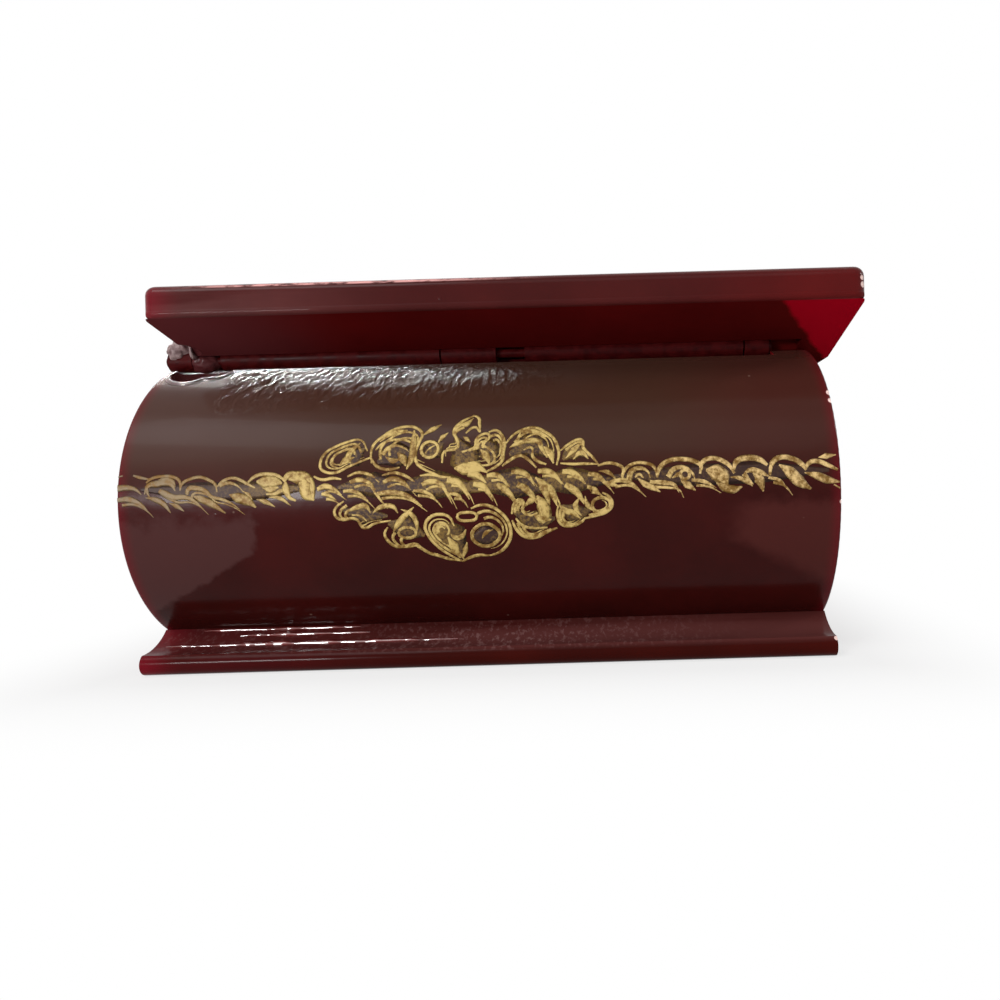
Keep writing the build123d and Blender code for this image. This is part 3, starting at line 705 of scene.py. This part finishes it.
# %% Rows of commas through the middle
MIDDLE_ROWS = [
    ("comma", 0.8, [(-21.0, 2.4), (-19.5, 2.8), (-17.7, 2.1), (-17.0, 0.8), (-15.7, -1.2)]),
    ("comma", 0.7, [(-22.1, 1.0), (-20.6, 1.0), (-19.0, 0.2), (-17.6, -1.3)]),
    ("line", 0.5, [(-21.4, 3.4), (-19.6, 4.0), (-17.6, 3.5), (-16.2, 2.3)]),
    ("comma", 0.9, [(-16.6, 0.5), (-14.5, 0.6), (-11.9, 0.1), (-10.7, -0.7), (-9.3, -1.8)]),
    ("comma", 0.9, [(-15.6, 2.3), (-14.0, 2.8), (-12.2, 2.1), (-10.9, 0.7)]),
    ("line", 0.5, [(-15.8, 3.4), (-13.8, 3.8), (-11.9, 3.2), (-10.4, 2.2)]),
    ("comma", 0.9, [(-9.3, 1.7), (-8.0, 2.2), (-6.3, 1.8), (-5.4, 0.5), (-4.4, -1.6)]),
    ("comma", 0.7, [(-10.7, 0.8), (-9.0, 0.6), (-7.6, -0.2), (-6.8, -1.3)]),
    ("comma", 1.2, [(-5.2, 2.3), (-3.6, 2.0), (-2.4, 0.8), (-1.6, -0.9)]),
    ("line", 0.5, [(-9.6, 3.2), (-7.8, 3.3), (-6.0, 2.9), (-4.6, 2.8)]),
    ("comma", 0.7, [(-4.8, 0.2), (-3.4, -0.2), (-2.6, -1.4)]),
    ("comma", 1.1, [(-0.9, 1.6), (0.6, 1.2), (1.5, 0.2), (2.2, -1.3)]),
    ("comma", 0.9, [(1.3, 2.9), (2.9, 2.9), (4.1, 2.0), (5.0, 0.5)]),
    ("comma", 1.2, [(2.9, 1.4), (4.2, 0.6), (5.2, -0.5), (5.9, -1.9)]),
    ("comma", 1.0, [(5.3, 3.3), (6.9, 3.3), (8.3, 2.3), (9.2, 0.7)]),
    ("comma", 1.2, [(6.2, 1.3), (7.5, 0.6), (8.6, -0.5), (9.4, -2.0)]),
    ("comma", 1.0, [(9.6, 3.4), (11.2, 3.3), (12.6, 2.4), (13.6, 0.9)]),
    ("comma", 1.3, [(10.4, 1.3), (11.5, 0.4), (12.2, -0.9), (12.6, -2.4)]),
    ("comma", 1.0, [(13.6, 3.2), (15.2, 3.0), (16.6, 2.0), (17.5, 0.6)]),
    ("comma", 1.2, [(14.0, 1.0), (15.3, 0.3), (16.3, -0.8), (17.0, -2.2)]),
    ("comma", 0.9, [(17.8, 2.7), (19.2, 2.4), (20.3, 1.4), (21.2, 0.2)]),
    ("comma", 0.8, [(17.6, 0.6), (18.8, 0.2), (19.7, -0.6)]),
]
print("middle rows:", len(MIDDLE_ROWS), "strokes")

# %% Lower scrolls and heart
LOWER_SCROLLS = [
    ("line", 0.45, [(-22.0, -0.6), (-23.3, -1.6), (-23.6, -2.6), (-22.9, -3.5), (-20.1, -3.6), (-19.4, -4.7),
                    (-18.9, -5.1), (-17.2, -4.4), (-14.5, -4.0)]),
    ("leaf", 0.9, [(-21.8, -2.4), (-19.9, -1.7), (-18.5, -1.5), (-17.7, -2.8)]),
    ("leaf", 0.8, [(-17.5, -2.8), (-16.2, -1.8), (-14.1, -1.7), (-13.3, -2.8)]),
    ("line", 0.45, [(-20.8, -2.9), (-19.4, -3.1), (-18.4, -4.0)]),
    ("line", 0.5, [(-15.1, -5.1), (-15.7, -6.1), (-15.2, -7.5), (-14.0, -8.4), (-12.5, -8.4), (-10.8, -8.1),
                   (-10.1, -8.7), (-8.8, -9.7), (-7.2, -10.3), (-5.5, -11.0), (-3.6, -11.3)]),
    ("ring", 0.45, [(-13.4, -6.1), (-12.0, -5.2), (-10.6, -6.1), (-12.0, -7.0)]),
    ("leaf", 1.0, [(-10.7, -1.9), (-12.2, -3.3), (-13.4, -4.6), (-14.3, -6.0)]),
    ("leaf", 0.8, [(-12.8, -2.2), (-11.2, -3.0), (-10.4, -4.5), (-10.5, -6.3)]),
    ("line", 0.5, [(-3.6, -11.4), (-5.8, -9.9), (-7.6, -8.2), (-8.8, -6.2), (-9.0, -5.0), (-8.2, -3.7), (-6.6, -3.2),
                   (-5.0, -3.7), (-4.3, -5.2)]),
    ("line", 0.5, [(-1.4, -2.4), (0.0, -1.9), (1.7, -2.1), (3.3, -3.1), (4.5, -4.6), (4.9, -6.3), (4.7, -7.6),
                   (3.8, -9.1), (2.5, -10.1), (1.1, -10.5)]),
    ("line", 0.5, [(1.1, -10.5), (-0.6, -10.4), (-2.2, -10.8), (-3.5, -11.5)]),
    ("ring", 0.5, [(-1.5, -6.9), (-0.5, -5.4), (0.8, -5.0), (2.2, -5.5), (3.1, -6.9), (2.2, -8.3), (0.8, -8.8),
                   (-0.6, -8.4)]),
    ("leaf", 0.8, [(0.0, -7.6), (0.9, -6.4), (2.0, -6.0)]),
    ("ring", 0.4, [(-3.7, -3.7), (-2.1, -3.0), (-0.5, -3.7), (-2.1, -4.4)]),
    ("line", 0.45, [(-7.4, -6.6), (-7.5, -5.3), (-6.4, -4.6), (-5.4, -5.2), (-5.3, -6.4), (-6.2, -7.0)]),
    ("leaf", 1.0, [(-5.2, -6.0), (-4.2, -7.2), (-3.2, -7.0), (-2.4, -5.8)]),
    ("line", 0.45, [(-4.8, -7.4), (-4.6, -8.8), (-3.8, -10.0), (-3.2, -11.0)]),
    ("leaf", 0.9, [(-2.4, -8.0), (-2.8, -9.4), (-3.4, -10.9)]),
    ("line", 0.45, [(-6.6, -8.1), (-5.4, -8.4), (-4.8, -9.4)]),
    ("line", 0.5, [(5.2, -4.5), (5.8, -6.0), (7.2, -7.4), (9.0, -7.5), (10.9, -6.6), (12.5, -6.0)]),
    ("line", 0.5, [(5.8, -4.2), (6.8, -5.4), (8.6, -5.9), (10.9, -5.9)]),
    ("line", 0.5, [(5.2, -3.5), (5.7, -1.8), (6.6, -1.2), (7.2, -1.8), (7.0, -3.0), (8.2, -3.8), (9.4, -3.4)]),
    ("leaf", 2.1, [(9.4, -0.6), (10.3, -2.2), (10.6, -3.8), (10.2, -5.2)]),
    ("leaf", 1.0, [(7.3, -2.3), (8.4, -1.4), (9.4, -1.2)]),
    ("line", 0.45, [(12.8, -2.3), (12.6, -4.1), (13.2, -5.4), (14.3, -5.8), (16.5, -5.1), (17.2, -4.4)]),
    ("leaf", 1.1, [(12.9, -2.1), (14.0, -3.2), (15.2, -3.6), (16.4, -4.6)]),
    ("leaf", 1.0, [(16.2, -1.2), (15.6, -2.6), (16.6, -4.2)]),
    ("ring", 0.45, [(18.3, -2.5), (19.9, -1.2), (21.4, -2.4), (20.0, -3.7)]),
    ("line", 0.45, [(17.0, -4.6), (18.6, -4.2), (20.8, -3.5), (21.6, -2.4), (21.1, -1.1), (20.0, -0.4)]),
    ("leaf", 0.8, [(17.2, -0.9), (17.6, -2.4), (18.6, -3.4)]),
]
print("lower scrolls:", len(LOWER_SCROLLS), "strokes")

# %% Second coat
SECOND_COAT = [
    ("leaf", 1.5, [(-13.4, 7.2), (-12.5, 6.2), (-11.9, 4.9)]),
    ("leaf", 1.3, [(-22.8, 5.2), (-21.6, 6.2), (-20.4, 6.6)]),
    ("leaf", 1.7, [(9.2, 2.4), (10.6, 0.8), (11.4, -2.2)]),
    ("leaf", 1.4, [(8.6, -3.6), (10.0, -4.4), (11.6, -4.6)]),
    ("leaf", 1.6, [(-5.6, -6.8), (-4.6, -8.6), (-3.8, -10.8)]),
    ("leaf", 1.8, [(-29.0, 3.6), (-28.2, 2.2), (-27.8, 0.4)]),
    ("leaf", 1.9, [(-31.0, 3.2), (-29.6, 3.4), (-28.0, 3.0)]),
    ("leaf", 1.4, [(0.2, 7.4), (1.2, 6.2), (1.8, 4.8)]),
    ("leaf", 1.6, [(-2.6, 4.9), (-0.6, 4.6), (1.4, 3.4)]),
    ("leaf", 1.1, [(-16.4, 9.2), (-14.4, 10.8), (-12.0, 11.2)]),
    ("leaf", 1.0, [(6.4, 10.2), (8.8, 10.4), (11.0, 9.2)]),
]
print("second coat:", len(SECOND_COAT), "strokes")

# %% Thinned wash under the scrolls
GOLD_WASH = [
    ("leaf", 3.2, [(-22.6, 5.4), (-20.6, 6.6), (-18.9, 8.2)]),
    ("leaf", 4.4, [(-16.6, 5.6), (-13.4, 6.9), (-10.7, 7.2)]),
    ("leaf", 3.4, [(-9.0, 6.2), (-7.4, 7.6), (-6.0, 8.8)]),
    ("leaf", 4.8, [(-3.8, 9.4), (-2.2, 6.0), (-0.4, 2.4)]),
    ("leaf", 3.6, [(-0.8, 9.0), (1.4, 7.4), (2.8, 4.8)]),
    ("leaf", 4.6, [(5.0, 6.2), (8.6, 8.0), (12.2, 5.8)]),
    ("leaf", 3.2, [(13.7, 5.2), (15.6, 6.6), (17.8, 5.8)]),
    ("leaf", 2.8, [(-22.4, -2.0), (-19.0, -2.9), (-15.0, -3.2)]),
    ("leaf", 3.8, [(-15.0, -4.4), (-12.0, -5.4), (-9.2, -6.6)]),
    ("leaf", 5.0, [(-7.4, -4.6), (-5.0, -7.0), (-3.4, -10.8)]),
    ("leaf", 3.4, [(-1.6, -7.4), (0.8, -7.0), (3.4, -7.0)]),
    ("leaf", 3.2, [(5.6, -3.2), (8.8, -4.8), (12.2, -4.4)]),
    ("leaf", 3.2, [(13.2, -2.4), (15.4, -3.6), (18.0, -3.2)]),
    ("leaf", 3.8, [(-23.0, 1.6), (-17.0, 1.9), (-10.0, 1.0)]),
    ("leaf", 4.2, [(-14.0, 1.2), (-7.0, 1.7), (1.0, 0.6)]),
    ("leaf", 4.6, [(-3.0, 1.3), (6.0, 1.6), (13.0, 0.4)]),
    ("leaf", 4.0, [(8.0, 1.0), (15.0, 1.7), (22.0, 1.6)]),
    ("leaf", 3.0, [(-55.0, 2.2), (-46.0, 1.6), (-36.0, 1.5), (-27.0, 1.8)]),
    ("leaf", 3.4, [(22.0, 2.2), (34.0, 2.0), (46.0, 2.2), (57.0, 2.2)]),
]
WASH_RELIEF = 0.014
print("wash:", len(GOLD_WASH), "strokes")

# %% Paint both long sides
CHAINS = LEFT_CHAIN + RIGHT_CHAIN + MIDDLE_ROWS
FINE_LINE = 0.42
SPLIT_OFFSET = Vector((0.75, -0.85))
FOLLOWED = (0.74, 0.48)


def drawn_smaller(points, share):
    """The same stroke, drawn smaller about its middle."""
    middle = sum((Vector(point) for point in points), Vector((0, 0))) / len(points)
    return [middle.lerp(Vector(point), share) for point in points]


# The split brush left a thin second line beside most commas
ECHOES = [("tail", FINE_LINE, [Vector(point) + SPLIT_OFFSET for point in points])
          for pressure, _, points in CHAINS if pressure == "comma"]
# Inside each large scroll the brush followed the outline twice more
NESTED = [("tail", FINE_LINE, drawn_smaller(points, share))
          for pressure, _, points in UPPER_SCROLLS + LOWER_SCROLLS if pressure == "line" and len(points) > 5
          for share in FOLLOWED]
ORNAMENT = CHAINS + UPPER_SCROLLS + LOWER_SCROLLS + SECOND_COAT + ECHOES + NESTED
print(len(ORNAMENT), "strokes:", len(ECHOES), "where the brush split,", len(NESTED), "inside a scroll")
for name, side in (("back", -1), ("front", 1)):
    lay_strokes("gold_wash_" + name, GOLD_WASH, side, wash, WASH_RELIEF)
    lay_strokes("gold_scrolls_" + name, ORNAMENT, side, gold, PAINT_RELIEF)

# %% [markdown]
# ## Blistered lacquer under the rim
# Under the hinge the thick lacquer lifted off the wood in small blisters, most of them towards the broken corner.
# Their steep little sides face every way, so a lamp at the left sparkles in them, where a smooth wall stays dark.
# A bump map could fake the sparkle, but the blisters also break the wall's outline, so here they are modelled:
# a fine grid is rolled onto the wall, pushed out by two sizes of noise, and given a back so that it is closed.

# %% Blisters
BLISTERED_ALONG, BLISTERED_ABOVE = (-46.5, 16.0), (15.0, 29.8)
GRID_STEP, HIGHEST_BLISTER, SUNK, BACK_DEPTH = 0.2, 0.36, 0.04, 0.25


def blister_height(along, above):
    """How far the lacquer has lifted, in mm, fading out at the edges of the patch and towards the right."""
    left, right = BLISTERED_ALONG
    low, high = BLISTERED_ABOVE
    from_left, from_low = (along - left) / (right - left), (above - low) / (high - low)
    place = Vector((along * 1.3, above * 0.62, 0.0))
    blister = noise.noise(place * 0.9) * 0.6 + noise.noise(place * 2.1 + Vector((7, 3, 5))) * 0.4
    ends = min(1.0, (along - left) / 1.5) * (1 - from_left) ** 0.6
    edges = math.sin(math.pi * min(1.0, max(0.0, from_low))) ** 0.5
    upper = 0.35 + 0.65 * from_low ** 0.7
    patches = 1.2 + 0.9 * noise.noise(Vector((along * 0.2, above * 0.12, 9.0)))
    return HIGHEST_BLISTER * ends * edges * upper * (0.6 + 1.1 * patches * blister) - SUNK


def blister_patch():
    """Build the patch flat, lift it, and close it with a back inside the wall."""
    left, right = BLISTERED_ALONG
    low, high = BLISTERED_ABOVE
    shape = bmesh.new()
    columns, rows = round((right - left) / GRID_STEP), round((high - low) / GRID_STEP)
    bmesh.ops.create_grid(shape, x_segments=columns, y_segments=rows, size=0.5)
    bmesh.ops.scale(shape, vec=(right - left, high - low, 1), verts=shape.verts)
    bmesh.ops.translate(shape, vec=((left + right) / 2, (low + high) / 2, 0), verts=shape.verts)
    back = set(bmesh.ops.duplicate(shape, geom=shape.verts[:] + shape.edges[:] + shape.faces[:])["geom"])
    for vert in shape.verts:
        vert.co.z = -BACK_DEPTH if vert in back else blister_height(vert.co.x, vert.co.y)
    bmesh.ops.bridge_loops(shape, edges=[edge for edge in shape.edges if edge.is_boundary])
    bmesh.ops.recalc_face_normals(shape, faces=shape.faces)
    mesh = bpy.data.meshes.new("blistered_rim")
    shape.to_mesh(mesh)
    shape.free()
    roll_onto_wall(mesh, -1, 1.0)
    return mesh


finish_piece("blistered_rim", blister_patch(), blister_lacquer)

# %% [markdown]
# ## Drips along the foot and the broken edge
# Lacquer gathers wherever two boards meet, and dries there as a thin uneven ridge.
# Three short ridges lie between the wall and the base's shoulder, towards the left end of both long sides.
# Thick broken lacquer also rims the scoop at the chipped corner. All of them sparkle in broken lines.
# A bevelled curve whose points wander a little gives such a ridge, thick or thin with the radius of each point.

# %% Drips
POINT_SPACING, ABOVE_BASE = 1.6, 9
# Name, start and end along the box, depth and thickness, in mm
DRIPS = (("neck", -52, -24, 34.35, 0.42), ("upper", -45, -22, 35.3, 0.42), ("lower", -57, -6, 37.4, 0.5))
noise.seed_set(7)


def ridge(name, start, end, depth, thickness, side):
    """Lay an uneven ridge of lacquer along the base board, at this depth from the middle of the box, in mm."""
    above = Vector((0, side * depth, ABOVE_BASE)) * MM
    height = nodes["base_board"].ray_cast(above, Vector((0, 0, -1)))[1].z / MM
    drawing = bpy.data.curves.new(name, "CURVE")
    drawing.dimensions = "3D"
    drawing.bevel_depth = MM
    drawing.bevel_resolution = 2
    drawing.resolution_u = 3
    drawing.use_fill_caps = True
    count = round(abs(end - start) / POINT_SPACING)
    spline = drawing.splines.new("BEZIER")
    spline.bezier_points.add(count)
    for i, point in enumerate(spline.bezier_points):
        point.handle_left_type = point.handle_right_type = "AUTO"
        wander = 0.25 * thickness * (noise.random() - 0.5)
        point.co = Vector((start + (end - start) * i / count, side * (depth + wander), height + wander)) * MM
        point.radius = thickness * (0.3 + 0.9 * noise.random()) * (0.3 + 0.7 * math.sin(math.pi * i / count))
    return finish_piece(name, mesh_of(drawing), drip_lacquer)


drips = [ridge(f"{position}_drip_{wall}", -side * start, -side * end, depth, thickness, side)
         for side, wall in ((-1, "back"), (1, "front"))
         for position, start, end, depth, thickness in DRIPS]

BROKEN_EDGE = [
    ("line", 1.3, [(-57.4, 27.2), (-57.3, 26.4), (-56.3, 25.0), (-54.7, 24.2), (-53.1, 24.1), (-51.8, 24.6),
                   (-50.8, 25.4), (-49.6, 25.5), (-48.2, 25.9), (-47.3, 26.9), (-46.6, 28.2)]),
]
BROKEN_RELIEF = 0.5
lay_strokes("broken_edge", BROKEN_EDGE, -1, drip_lacquer, BROKEN_RELIEF)

# %% [markdown]
# ## The torn corner of the hinge
# Where the corner broke off, a lump of the pale filler that once held the hinge still clings to its end barrel,
# and a torn ring of it sticks to the end of the lid. It is rough and chalky, quite unlike the lacquer round it.
# Lacquer that ran into the broken end clings round the bare pin as a torn sleeve.
# Icospheres pushed about by noise make the lump and the sleeve, and a spun circle makes the ring.

# %% Filler
def filler_finish():
    """Chalky pinkish filler, stained by the lacquer that soaked into it."""
    material, add, place = new_material("chalk_filler")
    colour = clouded(add, place, 1.2, (0.35, 0.7), linear("86706e"), linear("4a2a2c"))
    grit = add("TexNoise", {"Vector": place, "Scale": per_mm(0.25), "Detail": 3})
    bump = add("Bump", {"Height": grit, "Distance": 0.08 * MM, "Strength": 0.7})
    shader = add("BsdfPrincipled", {"Base Color": colour, "Roughness": 0.5, "Normal": bump})
    add("OutputMaterial", {"Surface": shader})
    return material


filler = filler_finish()
print("filler:", filler.name)


# %% Lump and sleeve
def torn_mesh(name, shape, strength):
    """Push a shape's points about by noise, in mm, so that it looks torn rather than turned, and make it a mesh."""
    shape.normal_update()
    for vert in shape.verts:
        vert.co += vert.normal * noise.noise(vert.co * 0.9) * strength
        vert.co += vert.normal * noise.noise(vert.co * 2.6) * strength * 0.4
    bmesh.ops.scale(shape, vec=(MM, MM, MM), verts=shape.verts)
    mesh = bpy.data.meshes.new(name)
    shape.to_mesh(mesh)
    shape.free()
    return mesh


# Name, radii and centre in mm, how much it is torn, material and slot
LUMPS = (
    ("hinge_filler", (2.0, 2.1, 2.3), (-57.4, -30.0, 57.0), 0.55, filler, "hinge_metal"),
    ("torn_sleeve", (3.2, 1.8, 1.9), (-53.2, -29.7, 55.0), 0.3, shell_lacquer, "dark_lacquer"),
)
for name, radii, centre, tearing, material, slot in LUMPS:
    ball = bmesh.new()
    bmesh.ops.create_icosphere(ball, subdivisions=4, radius=1.0)
    bmesh.ops.scale(ball, vec=radii, verts=ball.verts)
    bmesh.ops.translate(ball, vec=centre, verts=ball.verts)
    finish_piece(name, torn_mesh(name, ball, tearing), material)

# %% Torn ring on the lid's end
RING_CENTRE, RING_RADIUS, RING_THICKNESS, RING_TEARING = (-53.9, -31.6, 57.3), 1.15, 0.35, 0.3
QUARTER_TURN = math.pi / 2

ring = bmesh.new()
bmesh.ops.create_circle(ring, segments=10, radius=RING_THICKNESS)
bmesh.ops.translate(ring, vec=(RING_RADIUS, 0, 0), verts=ring.verts)
bmesh.ops.rotate(ring, cent=(0, 0, 0), matrix=Matrix.Rotation(QUARTER_TURN, 3, "X"), verts=ring.verts)
bmesh.ops.spin(ring, geom=ring.verts[:] + ring.edges[:], cent=(0, 0, 0), axis=(0, 0, 1), angle=math.tau,
               steps=28, use_merge=True)
bmesh.ops.scale(ring, vec=(1.3, 1.0, 1.0), verts=ring.verts)
bmesh.ops.rotate(ring, cent=(0, 0, 0), matrix=Matrix.Rotation(QUARTER_TURN, 3, "Y"), verts=ring.verts)
bmesh.ops.translate(ring, vec=RING_CENTRE, verts=ring.verts)
bmesh.ops.recalc_face_normals(ring, faces=ring.faces)
finish_piece("torn_ring", torn_mesh("torn_ring", ring, RING_TEARING), filler, body="lid")

# %% [markdown]
# ## Floor, light and background
# A glossy dark object shows its surroundings, so the lights matter as much as the lacquer.
# A broad lamp up on the left is the key, and a small strong one low on the left draws the sparkle along the foot.
# A wide soft panel lifts the front, and a small lamp on the right picks out the corners.
# The floor is white paper. Near the box it is really lit, so that it keeps the shadow. Further off it turns to
# plain white for the camera, which stands for a paper sweep without having to light a whole studio.

# %% Floor
SHADOW_REACH = 50 * MM
FLOOR_HALF_WIDTH = 4.0
WHITE = (1, 1, 1, 1)


def seen_directly(add):
    """1 for rays from the camera, also those that reach it through a reflection or a clear piece."""
    rays = add("LightPath").node.outputs
    seen = add("Math", [rays["Is Camera Ray"], rays["Is Glossy Ray"]], operation="MAXIMUM")
    return add("Math", [seen, rays["Is Transmission Ray"]], operation="MAXIMUM")


def paper_finish():
    """White paper that is lit near the box and plain white to the camera further off."""
    material, add, place = new_material("white_paper")
    mottling = add("TexNoise", {"Vector": place, "Scale": per_mm(60)})
    paper = add("BsdfDiffuse", {"Color": tint(add, linear("f0f0ef"), linear("f6f6f5"), mottling)})
    sweep = add("Emission", {"Color": WHITE, "Strength": 1.0})
    # the shadow's paper ends at a distance from the box's outline, not from its middle
    outward = add("VectorMath", [place], operation="ABSOLUTE")
    outward = add("VectorMath", [outward, (cad_high.x, cad_high.y, 0)], operation="SUBTRACT")
    outward = add("VectorMath", [outward, (0, 0, 0)], operation="MAXIMUM")
    distance = add("VectorMath", [outward], "Value", operation="LENGTH")
    plain = where(add, (distance, -1.1 * SHADOW_REACH, 0.7 * SHADOW_REACH), seen_directly(add))
    add("OutputMaterial", {"Surface": add("MixShader", [plain, paper, sweep])})
    return material


floor_mesh = bpy.data.meshes.new("floor")
floor_shape = bmesh.new()
bmesh.ops.create_grid(floor_shape, x_segments=1, y_segments=1, size=FLOOR_HALF_WIDTH)
floor_shape.to_mesh(floor_mesh)
floor_shape.free()
floor_mesh.materials.append(paper_finish())
floor = bpy.data.objects.new("floor", floor_mesh)
bpy.context.scene.collection.objects.link(floor)
print("floor", [round(size, 1) for size in floor.dimensions], "m")


# %% Lamps
def lamp(name, place, target, width, height, brightness):
    """Add a rectangular lamp, placed in mm, whose face looks as bright as this many whites."""
    data = bpy.data.lights.new(name, "AREA")
    data.shape = "RECTANGLE"
    data.size, data.size_y = width * MM, height * MM
    data.energy = brightness * math.pi * data.size * data.size_y
    holder = bpy.data.objects.new(name, data)
    holder.location = Vector(place) * MM
    direction = Vector(target) * MM - holder.location
    holder.rotation_euler = direction.to_track_quat("-Z", "Y").to_euler()
    bpy.context.scene.collection.objects.link(holder)
    print(name, round(data.energy, 2), "W at", round(direction.length, 2), "m")
    return holder


MIDDLE, HINGE_SIDE, CHIPPED_RIM = (0, 0, 30), (0, -40, 30), (-34, -31, 53)
lamp("left_lamp", (-230, -313, 400), HINGE_SIDE, 300, 160, 5)
lamp("low_left_lamp", (-230, -420, 60), HINGE_SIDE, 100, 45, 80)
lamp("top_panel", (-150, -620, 620), MIDDLE, 1000, 400, 1.0)
lamp("right_lamp", (480, -60, 260), MIDDLE, 60, 60, 40)

# %% [markdown]
# ## Two gleams
# The photograph has a gleam on the wall right under the lid, where the lid ought to shade it.
# Light linking lets one lamp shine past the lid: only the wall receives it, and only the wall can block it.
# A second linked lamp, low at the left, puts the sparkle on the drips and leaves the boards round them dark.
# Cycles finds a gleam by following reflected rays, which would stop at the lid, so that way is switched off
# for the first of them.

# %% Light linking
def shine_only_on(holder, pieces):
    """Let a lamp light these pieces alone."""
    lit = bpy.data.collections.new("lit_by_" + holder.name)
    for piece in pieces:
        lit.objects.link(piece)
    holder.light_linking.receiver_collection = lit


foot_lamp = lamp("foot_lamp", (-230, -420, 60), HINGE_SIDE, 100, 100, 130)
rim_lamp = lamp("rim_lamp", (-250, 220, 440), CHIPPED_RIM, 220, 420, 10)
rim_pieces = [bpy.data.objects[name] for name in ("blistered_rim", "broken_edge", "hinge_filler")]
shine_only_on(rim_lamp, [nodes["back_wall"], *rim_pieces])
shine_only_on(foot_lamp, drips)
blockers = bpy.data.collections.new("shading_the_rim_lamp")
blockers.objects.link(nodes["back_wall"])
rim_lamp.light_linking.blocker_collection = blockers
rim_lamp.data.cycles.use_multiple_importance_sampling = False

# %% World
ROOM_LIGHT = 0.35
world = bpy.data.worlds.new("white_room")
bpy.context.scene.world = world
world.use_nodes = True
world.node_tree.nodes.clear()
add_to_sky = partial(add_node, world.node_tree)
strength = [seen_directly(add_to_sky), 1 - ROOM_LIGHT, ROOM_LIGHT]
strength = add_to_sky("Math", strength, operation="MULTIPLY_ADD")
sky = add_to_sky("Background", {"Color": WHITE, "Strength": strength})
add_to_sky("OutputWorld", {"Surface": sky})
bpy.context.scene.view_settings.view_transform = "Standard"
print("room light", ROOM_LIGHT)
